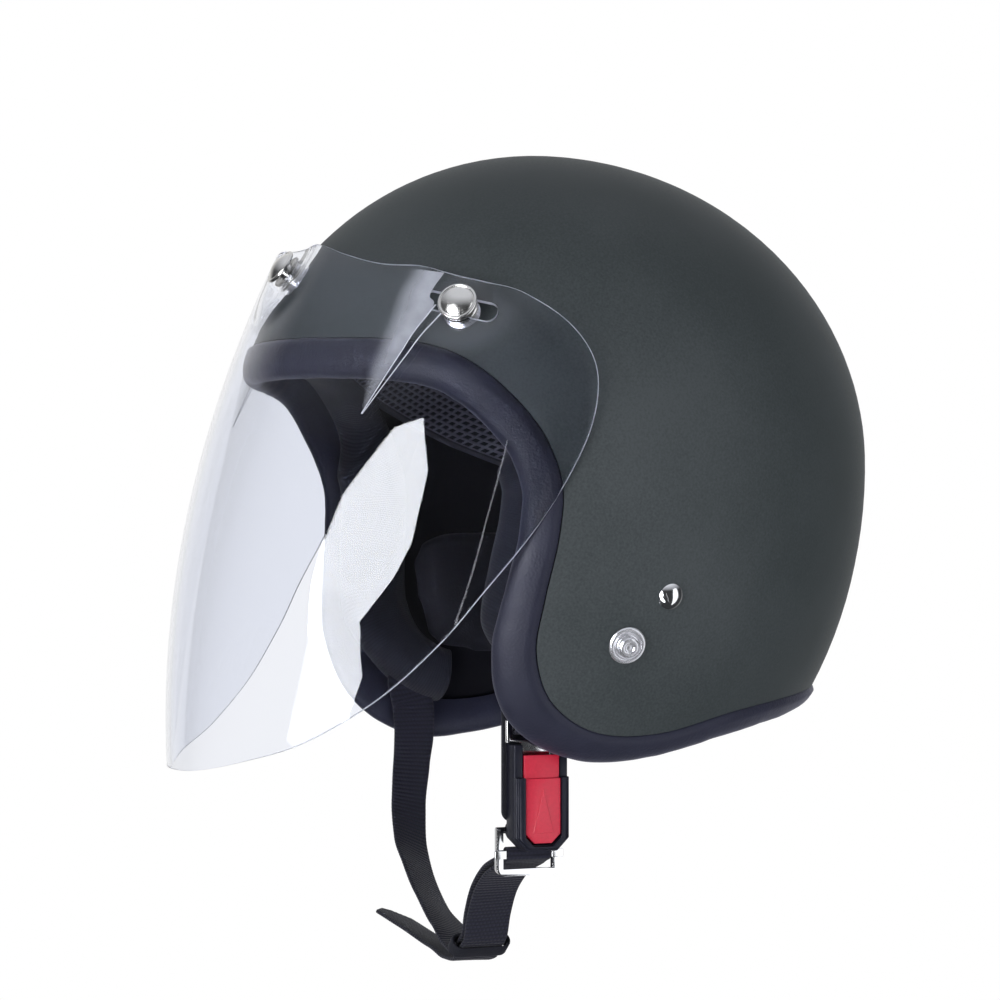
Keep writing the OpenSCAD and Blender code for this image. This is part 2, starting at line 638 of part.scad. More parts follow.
// Long strap: from the right anchor under the chin, round the sliding bar and back to its free tip
// Each place has the roll of the webbing about its own run
strap_fall = strap_inset - half_width;
strap_hang = [[strap_fall - 5, chin_y + 8.5, hem_height + 15, 0],
    [strap_fall - 1, chin_y + 8.5, hem_height + 2, 0], [strap_fall, chin_y + 8.5, hem_height - 10, 6],
    [strap_fall - 0.5, chin_y + 7.5, hem_height - 23, 13],
    [strap_fall + 1.5, chin_y + 5.5, hem_height - 39, 20],
    [strap_fall + 10, chin_y + 3, hem_height - 54, 26], [strap_fall + 24, chin_y + 1, strap_low + 22.5, 31],
    [strap_fall + 40.5, chin_y, strap_low + 12, 30], [keeper_x - 30, chin_y, strap_low + 3, 18],
    [keeper_x - 17, chin_y, strap_low - 1.5, 4], in_keeper(-7, keeper_layer), in_keeper(0, keeper_layer),
    in_keeper(7, keeper_layer), [adjuster_x - 37.5, chin_y - 0.5, slide_bar_z - 26, 0],
    [adjuster_x - 30, chin_y - 1, slide_bar_z - 15.5, 0], [adjuster_x - 20, chin_y - 1, slide_bar_z - 7.5, 0],
    [adjuster_x - 11.5, chin_y - 0.5, slide_bar_z - 3.6, 0]];
bar_reach = bar_thick / 2 + fold_gap;
bar_rise = bar_height / 2 + fold_gap;
bar_turn = [[-bar_reach - 3.2, -1.6], [-bar_reach - 0.8, -0.2], [-bar_reach, bar_height / 2 - 0.2],
    [0.5 - bar_reach, bar_rise - 0.5], [0, bar_rise], [bar_reach - 0.5, bar_rise - 0.5],
    [bar_reach, bar_height / 2 - 0.4], [bar_reach, 0.4 - bar_height / 2], [bar_reach - 0.5, 0.5 - bar_rise],
    [0, -bar_rise], [-bar_reach, -bar_rise - 0.5], [-bar_reach - 3.2, -bar_rise - 1.4]];
strap_return = [[adjuster_x - 11.5, chin_y - 0.5, slide_bar_z - 6.6, 0],
    [adjuster_x - 18.8, chin_y - 1, slide_bar_z - 10.4, 0],
    [adjuster_x - 27.6, chin_y - 1, slide_bar_z - 17.6, 0],
    [adjuster_x - 34.8, chin_y - 0.5, slide_bar_z - 27.4, 0], in_keeper(7, -keeper_layer),
    in_keeper(0, -keeper_layer), in_keeper(-7, -keeper_layer), [keeper_x - 16, chin_y, strap_low - 7, -4],
    [keeper_x - 31, chin_y - 1, strap_low - 5.5, -14], [keeper_x - 54, chin_y - 4, strap_low - 1, -18],
    [keeper_x - 74, chin_y - 6.5, strap_low + 3, -18], [keeper_x - 82, chin_y - 7.5, strap_low + 4.5, -18]];
right_fold = [for (p = left_fold) [-p.x, p.y, p.z, 0]];

module right_strap() color([0.07, 0.07, 0.08]) {
    turn_points = [for (p = bar_turn) [adjuster_x + p.x, buckle_y, slide_bar_z + p.y, 0]];
    run = smooth_run(concat(right_fold, strap_hang, turn_points, strap_return), 2);
    path = [for (p = run) [p.x, p.y, p.z]];
    last = len(path) - 1;
    turn = len(right_fold) * 2;
    lean = [-strap_side.x, strap_side.y, strap_side.z];
    level = [0, 1, 0];
    across = [for (i = [0:last])
        let (t = ease((i - turn + 2) / 5), along = path[min(i + 1, last)] - path[max(i - 1, 0)],
            rolled = cos(run[i][3]) * level - sin(run[i][3]) * unit(cross(along, level)))
        unit((1 - t) * lean + t * rolled)];
    webbing(path, across, strap_width, strap_thick, true);
}

// Fabric flap that keeps the buckle off the skin, sewn to the left strap's end
module chin_flap() color([0.06, 0.06, 0.07]) translate([flap_face, buckle_y - 0.5, 0]) rotate([0, -90, 0])
    linear_extrude(strap_thick) {
        high = tongue_bar_high + 4;
        low = hinge_z + lug_r + 1;
        corner = 4;
        translate([low + corner, -buckle_width / 2 - 1]) square([high - low - corner, buckle_width + 2]);
        translate([low, -buckle_width / 2 - 1 + corner]) square([corner, buckle_width + 2 - 2 * corner]);
        for (y = [-1, 1]) translate([low + corner, y * (buckle_width / 2 + 1 - corner)]) circle(corner);
    }

// Outline in the buckle's plane, with local X up and local Y along its width, given a thickness outwards
module buckle_layer(x, thick) translate([x, buckle_y, 0])
    multmatrix([[0, 0, 1, 0], [0, 1, 0, 0], [1, 0, 0, 0]]) linear_extrude(thick) children();

module span(low, high, width) translate([low, -width / 2]) square([high - low, width]);

// Straight sides and a lower end with its corners cut back
module cut_corners(low, high, width, cut) {
    half = width / 2;
    polygon([[high, -half], [low + cut, -half], [low, cut - half],
        [low, half - cut], [low + cut, half], [high, half]]);
}

module housing_outline(low, high) cut_corners(low, high, buckle_width, 5);
module button_outline(low, high, width) cut_corners(low, high, width, 3.6);

module tongue() color("silver") buckle_layer(tongue_back, tongue_thick) difference() {
    head = strap_width + 6;
    union() {
        span(-buckle_top - 1, tongue_bar_high, head);
        span(tongue_tip + 3, -buckle_top, tongue_width);
        span(tongue_tip, tongue_tip + 4, tongue_width - 4);
    }
    span(-buckle_top + 0.6, tongue_bar_low, strap_width + 1.5);
    span(tongue_tip + 9, tongue_tip + 14, tongue_width - 6);
}

module buckle_base() color([0.08, 0.08, 0.09]) difference() {
    union() {
        buckle_layer(base_back, base_face - base_back) housing_outline(housing_low, -buckle_top - 1.6);
        hinge_lug();
    }
    buckle_layer(tongue_back - buckle_clear, base_face - tongue_back)
        span(tongue_tip - 1, -buckle_top + 1, tongue_width + 2 * buckle_clear);
    buckle_layer(pocket_floor, base_face - pocket_floor + 1)
        button_outline(button_low - 2 * buckle_clear, -buckle_top + 1, button_width + 2 * buckle_clear);
    buckle_layer(base_back + buckle_wall, base_face - base_back)
        translate([spring_z, 0]) circle(2.6);
    translate([adjuster_x, buckle_y, hinge_z]) rotate([90, 0, 0])
        cylinder(r = hinge_r + hinge_clear, h = adjuster_width, center = true);
}

// Lug on the housing's back that carries the adjuster's upper bar
module hinge_lug() translate([0, buckle_y, 0]) rotate([90, 0, 0]) linear_extrude(lug_width, center = true) {
    translate([adjuster_x, hinge_z]) circle(lug_r);
    translate([adjuster_x, hinge_z - lug_r]) square([base_back - adjuster_x + 0.5, 2 * lug_r]);
}

module buckle_cover() color([0.1, 0.1, 0.11]) difference() {
    union() {
        buckle_layer(base_face + 0.1, cover_rim) housing_outline(housing_low, cover_top);
        buckle_layer(base_face + cover_rim, cover_thick - cover_rim)
            cut_corners(housing_low + 1, cover_top, buckle_width - 2, 4);
    }
    buckle_layer(base_face - 1, cover_thick + 2)
        button_outline(button_low - 4 * buckle_clear, cover_top + 2, button_width + 2 * buckle_clear);
}

// Button with a low upper step at the tongue's mouth and a raised pointer on its face
module release_button() color([0.72, 0.06, 0.1]) difference() {
    union() {
        buckle_layer(button_back, button_step) button_outline(button_low, button_high, button_width);
        buckle_layer(button_back, button_thick) button_outline(button_low, cover_top - 0.4, button_width);
        buckle_layer(button_back, button_thick + pointer_raise)
            polygon([[cover_top - 4.5, 0], [button_low + 4, -4.2], [button_low + 4, 4.2]]);
    }
    buckle_layer(button_back - 1, 2) translate([spring_z, 0]) circle(2.6);
}

// Steel latch that a press of the button lifts off the tongue, drawn lifted over the tongue's window
module latch_plate() color("gray") {
    plate = 0.8;
    buckle_layer(tongue_face + buckle_clear, plate) difference() {
        span(tongue_tip + 4, tongue_tip + 18, tongue_width - 1);
        span(tongue_tip + 7, tongue_tip + 10, tongue_width - 7);
    }
}

// Coil spring under the button, drawn at its working length
module button_spring() color("silver") {
    wire = 0.35;
    coil = 1.8;
    turns = 4;
    low = base_back + buckle_wall + wire + 0.2;
    high = button_back + 1 - wire - 0.2;
    steps = 10 * turns;
    sides = 6;
    rings = [for (i = [0:steps]) let (a = 360 * turns * i / steps, x = low + (high - low) * i / steps)
        [for (k = [0:sides - 1]) let (b = 360 * k / sides, r = coil + wire * cos(b))
            [x + wire * sin(b), buckle_y + r * cos(a), spring_z + r * sin(a)]]];
    swept(rings, false);
}

// Metal frame that hangs from the housing's lug by its round upper bar
module adjuster_frame() color("silver") {
    corner = 3;
    buckle_layer(adjuster_x - adjuster_thick / 2, adjuster_thick) difference() {
        union() {
            span(adjuster_low + corner, hinge_z, adjuster_width);
            span(adjuster_low, adjuster_low + corner, adjuster_width - 2 * corner);
            for (y = [-1, 1]) translate([adjuster_low + corner, y * (adjuster_width / 2 - corner)])
                circle(corner);
        }
        span(adjuster_low + adjuster_rail, hinge_z + 1, adjuster_width - 2 * adjuster_rail);
    }
    translate([adjuster_x, buckle_y, hinge_z]) rotate([90, 0, 0])
        cylinder(r = hinge_r, h = adjuster_width, center = true);
}

// Sliding bar that the strap turns round, with a finger tab at each end on the frame's outer face
module adjuster_bar() color("silver") {
    tab_back = adjuster_x + adjuster_thick / 2 + 0.2;
    tab_thick = 1;
    tab_reach = bar_play + adjuster_rail + 1.2;
    buckle_layer(adjuster_x - bar_thick / 2, bar_thick) bar_outline(0, bar_length / 2);
    buckle_layer(adjuster_x, tab_back + tab_thick - adjuster_x)
        bar_outline(bar_length / 2 - bar_end, bar_length / 2);
    buckle_layer(tab_back, tab_thick) bar_outline(bar_length / 2 - bar_end, bar_length / 2 + tab_reach);
}

// Both ends of the sliding bar, between two distances from its middle
module bar_outline(from, to) for (y = [from, -to])
    translate([slide_bar_z - bar_height / 2, y]) square([bar_height, to - from]);

// Soft loop that gathers the strap and its free end under the chin
module strap_keeper() color([0.06, 0.06, 0.07]) {
    wall = 1;
    long = 6;
    inner_r = keeper_layer + strap_thick / 2 + 0.8;
    inner_length = strap_width + 4.5;
    translate([keeper_x, chin_y, strap_low]) rotate([0, 90 - keeper_turn, 0])
        linear_extrude(long, center = true) rotate(90) difference() {
            stadium(inner_length + 2 * wall, inner_r + wall);
            stadium(inner_length, inner_r);
        }
}

outer_shell();
impact_liner();
crown_pad();
head_band();
left_cheek_pad();
right_cheek_pad();
neck_pad();
edge_trim();
shield();
brow_snap_studs();
snap_sockets();
snap_caps();
side_snap_studs();
stud_posts();
strap_rivets();
rivet_bushes();
anchor_plates();
left_strap();
right_strap();
chin_flap();
tongue();
buckle_base();
buckle_cover();
release_button();
latch_plate();
button_spring();
adjuster_frame();
adjuster_bar();
strap_keeper();
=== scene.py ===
# %% [markdown]
# # Dressing an open face helmet
# The solid model already holds every piece of this helmet at its real size. This lesson gives the
# pieces their looks: matte paint, padded trim, clear plastic, plated snaps, ribbed webbing and a red
# release button. The solid model is loaded first and is never moved; each new piece takes its place.

# %% Load the solid model
import math
import bpy
from mathutils import Matrix, Vector, noise


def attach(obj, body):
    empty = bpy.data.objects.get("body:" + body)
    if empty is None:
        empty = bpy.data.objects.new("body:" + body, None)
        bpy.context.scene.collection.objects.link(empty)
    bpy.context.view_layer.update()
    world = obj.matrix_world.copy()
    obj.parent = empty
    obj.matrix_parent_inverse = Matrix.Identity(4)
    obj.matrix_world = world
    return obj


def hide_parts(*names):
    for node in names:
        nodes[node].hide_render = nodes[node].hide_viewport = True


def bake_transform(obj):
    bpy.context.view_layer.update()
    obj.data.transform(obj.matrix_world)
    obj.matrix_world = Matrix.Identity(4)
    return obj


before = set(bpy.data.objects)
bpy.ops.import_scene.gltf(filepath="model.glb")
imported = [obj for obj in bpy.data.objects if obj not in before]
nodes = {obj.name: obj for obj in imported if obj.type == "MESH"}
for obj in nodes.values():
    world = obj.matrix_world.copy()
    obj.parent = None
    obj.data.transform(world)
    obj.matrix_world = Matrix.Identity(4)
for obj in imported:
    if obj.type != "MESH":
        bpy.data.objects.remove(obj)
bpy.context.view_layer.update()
bpy.ops.object.select_all(action="DESELECT")
MM = 0.001

# %% [markdown]
# ## The camera
# The photograph looks at the wearer's left front from a long way off, level with the ears. A long
# lens keeps the perspective flat. The lens is shifted a little because the dome centre isn't in the
# middle of the picture.

# %% Camera
VIEW_AZIMUTH = math.radians(66)
VIEW_ELEVATION = math.radians(-1)
VIEW_DISTANCE = 1.3
PICTURE = 1000
METRES_PER_PIXEL = 0.000406
ORIGIN_PIXEL = (534, 463.7)

view_from = Vector((math.sin(VIEW_AZIMUTH) * math.cos(VIEW_ELEVATION),
                    -math.cos(VIEW_AZIMUTH) * math.cos(VIEW_ELEVATION),
                    math.sin(VIEW_ELEVATION)))
view_right = Vector((math.cos(VIEW_AZIMUTH), math.sin(VIEW_AZIMUTH), 0))
view_up = view_from.cross(view_right)

bpy.ops.object.camera_add(location=view_from * VIEW_DISTANCE)
camera = bpy.context.object
camera.rotation_euler = view_from.to_track_quat("Z", "Y").to_euler()
camera.data.sensor_width = 36
camera.data.lens = camera.data.sensor_width * VIEW_DISTANCE / METRES_PER_PIXEL / PICTURE
camera.data.shift_x = 0.5 - ORIGIN_PIXEL[0] / PICTURE
camera.data.shift_y = ORIGIN_PIXEL[1] / PICTURE - 0.5
camera.data.clip_end = 50
bpy.context.scene.camera = camera
print("lens", round(camera.data.lens, 1), "mm")

# %% [markdown]
# ## Modelling helpers
# Most of the helmet is curved sheet: the shell, its lining, the trim, the shield and the straps. Each
# starts as a flat grid whose points are then moved to their places, as one would pull a sheet over a
# form. The grid brings its own UV map, which is scaled to metres so that weaves come out at real size.

# %% Helpers
GRID_MERGE = 0.005 * MM
SOLID_MERGE = 0.002 * MM
BEVEL_STEPS = 3
SHARP_ABOVE = math.radians(30)


def placed_grid(name, columns, rows, place, uv_size=(1, 1)):
    """Adds a grid and moves each point to place(u, v), where u and v run from 0 to 1."""
    bpy.ops.object.select_all(action="DESELECT")
    bpy.ops.mesh.primitive_grid_add(x_subdivisions=columns, y_subdivisions=rows, size=1)
    piece = bpy.context.object
    piece.name = piece.data.name = name
    for point in piece.data.vertices:
        point.co = place(point.co.x + 0.5, point.co.y + 0.5)
    for corner in piece.data.uv_layers.active.data:
        corner.uv = (corner.uv.x * uv_size[0], corner.uv.y * uv_size[1])
    edit(piece, bpy.ops.mesh.remove_doubles, threshold=GRID_MERGE)
    bpy.ops.object.shade_smooth()
    return piece


def edit(piece, operator, **settings):
    """Runs one edit mode operator on all of a piece."""
    only(piece)
    bpy.ops.object.mode_set(mode="EDIT")
    bpy.ops.mesh.select_all(action="SELECT")
    operator(**settings)
    bpy.ops.object.mode_set(mode="OBJECT")


def only(piece):
    """Selects one piece and makes it active."""
    bpy.ops.object.select_all(action="DESELECT")
    piece.select_set(True)
    bpy.context.view_layer.objects.active = piece


def finish_with(piece, kind, **settings):
    """Adds a modifier and applies it."""
    only(piece)
    modifier = piece.modifiers.new(kind, kind)
    for name, value in settings.items():
        setattr(modifier, name, value)
    bpy.ops.object.modifier_apply(modifier=modifier.name)


def solid_copy(node, name, dissolve=0):
    """A merged copy of a solid's mesh; faces within so many degrees of each other become one."""
    piece = bpy.data.objects.new(name, nodes[node].data.copy())
    piece.data.name = name
    piece.data.materials.clear()
    bpy.context.scene.collection.objects.link(piece)
    edit(piece, bpy.ops.mesh.remove_doubles, threshold=SOLID_MERGE)
    if dissolve:
        edit(piece, bpy.ops.mesh.dissolve_limited, angle_limit=math.radians(dissolve))
    return piece


def soften(piece, width, smooth_angle=35):
    """Rounds the edges of a hard piece."""
    finish_with(piece, "BEVEL", width=width, segments=BEVEL_STEPS, limit_method="ANGLE",
                angle_limit=SHARP_ABOVE)
    crisp(piece, smooth_angle)


def crisp(piece, angle):
    """Smooth shading, with a crease above an angle in degrees."""
    only(piece)
    bpy.ops.object.shade_smooth_by_angle(angle=math.radians(angle))


def joined(name, parts):
    """Several meshes made one piece."""
    bpy.ops.object.select_all(action="DESELECT")
    for part in parts:
        part.select_set(True)
    bpy.context.view_layer.objects.active = parts[0]
    bpy.ops.object.join()
    parts[0].name = parts[0].data.name = name
    return parts[0]


def copies_at(name, piece, places):
    """One piece made of copies at several places; the shape itself is used up."""
    parts = []
    for place in places:
        part = bpy.data.objects.new(name, piece.data.copy())
        bpy.context.scene.collection.objects.link(part)
        part.data.transform(place)
        if place.determinant() < 0:
            part.data.flip_normals()
        parts.append(part)
    bpy.data.objects.remove(piece)
    return joined(name, parts)


def wear(piece, material, body, slot, *replaced):
    """Gives a piece its material and body, and hides the solids it stands for. The slot is not used."""
    if not piece.data.materials:
        piece.data.materials.append(material)
    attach(piece, body)
    if replaced:
        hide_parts(*replaced)
    print(piece.name, "on", body, len(piece.data.polygons), "faces")


def smooth(a, b, c, d, t):
    """A point between b and c on a smooth curve through a, b, c and d."""
    return 0.5 * (2 * b + (c - a) * t + (2 * a - 5 * b + 4 * c - d) * t * t
                  + (3 * b - a - 3 * c + d) * t ** 3)


def round_curve(control, count, u):
    """A point of a closed smooth curve through all its controls."""
    i = math.floor(u * count)
    return smooth(*[control(i + k) for k in (-1, 0, 1, 2)], u * count - i)


def ease(t):
    """A soft step from 0 to 1."""
    t = min(max(t, 0), 1)
    return t * t * (3 - 2 * t)


print("modelling helpers are ready")

# %% [markdown]
# ## The shape of the shell
# The dome is an ellipsoid whose half lengths differ from front to rear and from the crown to the lower
# part. Its edge is one closed line of bearings and heights, which the shell, the trim and the knitted
# facing all follow.

# %% Dome and edge line
HALF_WIDTH, FRONT, REAR, CROWN, LOWER = 0.120, 0.123, 0.138, 0.1245, 0.165
SHELL_WALL = 3 * MM
DOME_POLE = Vector((0, math.sin(math.radians(28)), math.cos(math.radians(28))))
# Left half of the edge from brow to nape: bearing in degrees, height and trim width in millimetres
EDGE_HALF = [(0, 47, 15), (24, 46.5, 15), (44.7, 43.5, 15), (56.7, 34, 15), (66.7, 14, 15),
             (71.4, -8, 15), (71.1, -29, 15), (68.7, -52, 15), (67.1, -73, 17), (70.5, -91.5, 19),
             (80.7, -103, 16), (96, -104, 13), (115.5, -96, 13), (142, -91, 11), (180, -88, 9)]
EDGE_COUNT = 2 * (len(EDGE_HALF) - 1)


def toward(bearing, height):
    """Direction of the shell's point at a bearing in radians and a height in metres."""
    share = height / (CROWN if height > 0 else LOWER)
    level = math.sqrt(1 - share * share)
    return Vector((level * math.sin(bearing), -level * math.cos(bearing), share))


def half_lengths(d):
    """Half lengths of the dome on the sides that a direction points to."""
    return HALF_WIDTH, FRONT if d.y < 0 else REAR, CROWN if d.z > 0 else LOWER


def skin(d, grow=0):
    """Point of the shell's outside in that direction, grown by so much."""
    return Vector([part * (half + grow) for part, half in zip(d, half_lengths(d))])


def outward(d):
    """Outward normal of the shell in that direction."""
    return Vector([part / half for part, half in zip(d, half_lengths(d))]).normalized()


def edge_control(i):
    """Control of the edge line, counted on and on round the shell."""
    turn, k = divmod(i, EDGE_COUNT)
    half = k < len(EDGE_HALF)
    bearing, height, width = EDGE_HALF[k if half else EDGE_COUNT - k]
    return Vector((360 * turn + (bearing if half else 360 - bearing), height, width))


def edge_at(u):
    """Bearing in radians, height and trim width in metres, once round from the brow."""
    p = round_curve(edge_control, EDGE_COUNT, u)
    return math.radians(p.x), p.y * MM, p.z * MM


def edge_toward(u):
    """Direction of a point of the edge line."""
    bearing, height, _ = edge_at(u)
    return toward(bearing, height)


def shell_place(bearing, height, lift=0):
    """Matrix of a place on the shell: X level, Y up the shell, Z outward."""
    d = toward(bearing, height)
    out = outward(d)
    side = Vector((-out.y, out.x, 0)).normalized()
    rise = out.cross(side)
    rows = Matrix((side, rise, out)).transposed().to_4x4()
    return Matrix.Translation(skin(d) + out * lift) @ rows


MIRROR = Matrix.Scale(-1, 4, (1, 0, 0))
print("edge controls:", EDGE_COUNT)

# %% [markdown]
# ## Nodes in a few words
# A material, a node group and the world are all trees of nodes. These helpers add a node and set or link
# its inputs in one line, so the recipes further down stay short enough to read.

# %% Node helpers
def fill(tree, made, values):
    """Sets or links inputs of a node, by name or number."""
    for name, value in values.items():
        if isinstance(value, bpy.types.NodeSocket):
            tree.links.new(value, made.inputs[name])
        else:
            made.inputs[name].default_value = value


def node(tree, kind, values=None, **settings):
    """A new node with its settings and its inputs."""
    made = tree.nodes.new("ShaderNode" + kind)
    for name, value in settings.items():
        setattr(made, name, value)
    fill(tree, made, values or {})
    return made


def maths(tree, operation, first, second=0.0, clamp=False):
    """The result of one step of arithmetic."""
    return node(tree, "Math", {0: first, 1: second}, operation=operation, use_clamp=clamp).outputs[0]


def remap(tree, value, low=0.0, high=1.0, to_low=0.0, to_high=1.0, kind="LINEAR"):
    """A value stretched from one range to another."""
    return node(tree, "MapRange", {"Value": value, "From Min": low, "From Max": high, "To Min": to_low,
                                   "To Max": to_high}, interpolation_type=kind).outputs["Result"]


def clouds(tree, where, scale, detail, rough=0.5):
    """Soft noise between 0 and 1."""
    return node(tree, "TexNoise", {"Vector": where, "Scale": scale, "Detail": detail,
                                   "Roughness": rough}).outputs["Fac"]


def mixed(tree, share, dark, light):
    """A colour between two others."""
    return node(tree, "Mix", {0: share, 6: dark, 7: light}, data_type="RGBA").outputs[2]


def new_material(name, values):
    """A material, its tree and its Principled shader with some inputs set."""
    material = bpy.data.materials.new(name)
    material.use_nodes = True
    tree = material.node_tree
    shader = tree.nodes["Principled BSDF"]
    fill(tree, shader, values)
    return material, tree, shader


def surface(tree, shader):
    """Makes a shader the one that the material shows."""
    fill(tree, tree.nodes["Material Output"], {"Surface": shader.outputs[0]})


print("node helpers are ready")

# %% [markdown]
# ## The floor and the world
# The floor is pale and far below, because a helmet like this hangs or is held up for its picture. The
# world shows white to the camera and through clear plastic, whatever the side. Polished metal sees that
# white only behind the object, and for everything else the world is a soft grey, so the white doesn't
# flood the object with light.

# %% Floor and world
FLOOR_HEIGHT = -0.6
FLOOR_SIZE = 12


def reflections(tree):
    """0 for a ray that came straight or through clear plastic, 1 once it was thrown back."""
    rays = node(tree, "LightPath").outputs
    return maths(tree, "ADD", rays["Diffuse Depth"], rays["Glossy Depth"], True)


def stage_floor():
    """A pale floor that turns plain white further out."""
    bpy.ops.object.select_all(action="DESELECT")
    bpy.ops.mesh.primitive_plane_add(size=FLOOR_SIZE, location=(0, 0, FLOOR_HEIGHT))
    floor = bpy.context.object
    floor.name = "studio_floor"
    material, tree, shader = new_material("studio_floor_paint",
                                          {"Base Color": (0.85, 0.85, 0.86, 1), "Roughness": 0.9})
    where = node(tree, "TexCoord").outputs["Object"]
    length = node(tree, "VectorMath", {0: where}, operation="LENGTH").outputs["Value"]
    white = maths(tree, "SUBTRACT", remap(tree, length, 0.6, 1.6), reflections(tree), True)
    glow = node(tree, "Emission")
    surface(tree, node(tree, "MixShader", {"Fac": white, 1: shader.outputs[0], 2: glow.outputs[0]}))
    floor.data.materials.append(material)
    floor.visible_glossy = floor.visible_transmission = False


def stage_world():
    """White where it is seen, a dim room with a bright ceiling in mirrors, else soft grey."""
    world = bpy.data.worlds.new("studio_world")
    bpy.context.scene.world = world
    world.use_nodes = True
    tree = world.node_tree
    rays = node(tree, "LightPath").outputs
    glossy, clear_ray = rays["Is Glossy Ray"], rays["Is Transmission Ray"]
    where = node(tree, "TexCoord").outputs["Generated"]
    behind = node(tree, "VectorMath", {0: where, 1: -view_from}, operation="DOT_PRODUCT").outputs["Value"]
    through = maths(tree, "SUBTRACT", clear_ray, reflections(tree), True)
    mirrored = maths(tree, "MULTIPLY", glossy, remap(tree, behind, 0.4, 0.95))
    seen = maths(tree, "MAXIMUM", rays["Is Camera Ray"], maths(tree, "MAXIMUM", through, mirrored))
    sharp = maths(tree, "MAXIMUM", glossy, clear_ray)
    height = node(tree, "SeparateXYZ", {0: where}).outputs["Z"]
    ceiling = remap(tree, height, 0.35, 0.85, 0.05, 0.9)
    ambient = tree.nodes["Background"]
    fill(tree, ambient, {"Color": (0.9, 0.94, 1.0, 1), "Strength": 0.36})
    room = node(tree, "Background", {"Color": (0.9, 0.93, 1.0, 1), "Strength": ceiling})
    white = node(tree, "Background", {"Color": (1, 1, 1, 1)})
    around = node(tree, "MixShader", {"Fac": sharp, 1: ambient.outputs[0], 2: room.outputs[0]})
    final = node(tree, "MixShader", {"Fac": seen, 1: around.outputs[0], 2: white.outputs[0]})
    fill(tree, tree.nodes["World Output"], {"Surface": final.outputs[0]})


stage_floor()
stage_world()
bpy.context.scene.view_settings.view_transform = "Standard"
print("world:", bpy.context.scene.world.name)

# %% [markdown]
# ## Lamps and cards
# Four large lamps do the work. What shines in plastic and metal is something else: glowing cards, which
# only mirrored rays see. Their shapes are those of the soft boxes and the stand that a polished thing
# would show in a studio.

# %% Lamps and cards
CARD_DISTANCE = 1.6
STRIP_DISTANCE = 1.55
LAMP_TINT = (0.96, 0.97, 1)


def lamp(name, right, up, front, width, height, power, colour=LAMP_TINT):
    """A soft lamp placed as seen from the camera, aimed at the dome centre."""
    place = view_right * right + view_up * up + view_from * front
    bpy.ops.object.light_add(type="AREA", location=place)
    light = bpy.context.object
    light.name = name
    light.rotation_euler = place.to_track_quat("Z", "Y").to_euler()
    light.data.shape = "RECTANGLE"
    light.data.size, light.data.size_y = width, height
    light.data.energy = power
    light.data.color = colour
    light.visible_glossy = light.visible_transmission = False


def card(name, corners, strength, distance=CARD_DISTANCE):
    """A glowing card that is only seen mirrored; its corners are right and up of the camera."""
    bpy.ops.object.select_all(action="DESELECT")
    bpy.ops.mesh.primitive_circle_add(vertices=len(corners), fill_type="NGON")
    glow = bpy.context.object
    glow.name = name
    for point, (right, up) in zip(glow.data.vertices, corners):
        front = math.sqrt(1 - right * right - up * up)
        point.co = (view_right * right + view_up * up + view_from * front) * distance
    material, tree, shader = new_material(name + "_glow", {
        "Base Color": (0, 0, 0, 1), "Emission Color": (0.94, 0.96, 1, 1), "Emission Strength": strength})
    rays = node(tree, "LightPath").outputs
    mirrored = maths(tree, "SUBTRACT", rays["Ray Depth"], rays["Transmission Depth"], True)
    fill(tree, shader, {"Alpha": mirrored})
    glow.data.materials.append(material)
    glow.visible_camera = glow.visible_diffuse = glow.visible_shadow = False


lamp("key_softbox", -1.1, 0.2, 1.6, 1.3, 1.3, 23)
lamp("top_softbox", -0.3, 1.9, 0.3, 1.6, 1.2, 1, (0.95, 0.97, 1))
lamp("side_softbox", 1.2, -0.8, 1.45, 0.9, 1.4, 44)
lamp("rear_softbox", 0.4, 0.6, -1.9, 1.6, 1.6, 26)
card("octabox", [(-0.63, 0.34), (-0.5, 0.33), (-0.38, 0.15), (-0.31, -0.1), (-0.33, -0.2),
                 (-0.42, -0.29), (-0.7, -0.2), (-0.8, 0), (-0.81, 0.09), (-0.78, 0.22)], 14.5)
strip_seam = [(-0.08, -0.77), (-0.265, -0.637), (-0.465, -0.462), (-0.688, -0.199), (-0.764, -0.053)]
card("strip_light", [(-0.8, 0), (-0.54, -0.135), (-0.39, -0.33), (-0.19, -0.58)] + strip_seam, 12.5,
     STRIP_DISTANCE)
card("strip_side", strip_seam + [(-0.78, -0.02), (-0.73, -0.12), (-0.65, -0.32), (-0.5, -0.57),
                                 (-0.25, -0.74)], 2.5, STRIP_DISTANCE)
card("stand_pole", [(0.03, 0.09), (0.038, 0.09), (0.11, -0.2), (0.268, -0.74), (0.26, -0.74),
                    (0.102, -0.2)], 3)
card("metal_filler", [(0.42, -0.88), (0.62, -0.5), (0.66, 0), (0.66, 0.45), (0.86, 0.45), (0.98, 0),
                      (0.9, -0.4), (0.6, -0.78)], 1.5)

# %% [markdown]
# ## Finishes that several pieces share
# Fine grain, woven ribs and a slow change of tone turn up all over a helmet. Each is built once as a
# node group with named sockets, and every material that needs it sets its own values.

# %% Shared node groups
SWELL_SCALE = 120.0
DRIFT_SCALE = 14.0


def new_group(name, inputs, outputs):
    """A node group, its inputs and its end; sockets are given by name and kind."""
    tree = bpy.data.node_groups.new(name, "ShaderNodeTree")
    for way, sockets in (("INPUT", inputs), ("OUTPUT", outputs)):
        for label, kind in sockets.items():
            tree.interface.new_socket(label, in_out=way, socket_type="NodeSocket" + kind)
    return tree, tree.nodes.new("NodeGroupInput").outputs, tree.nodes.new("NodeGroupOutput")


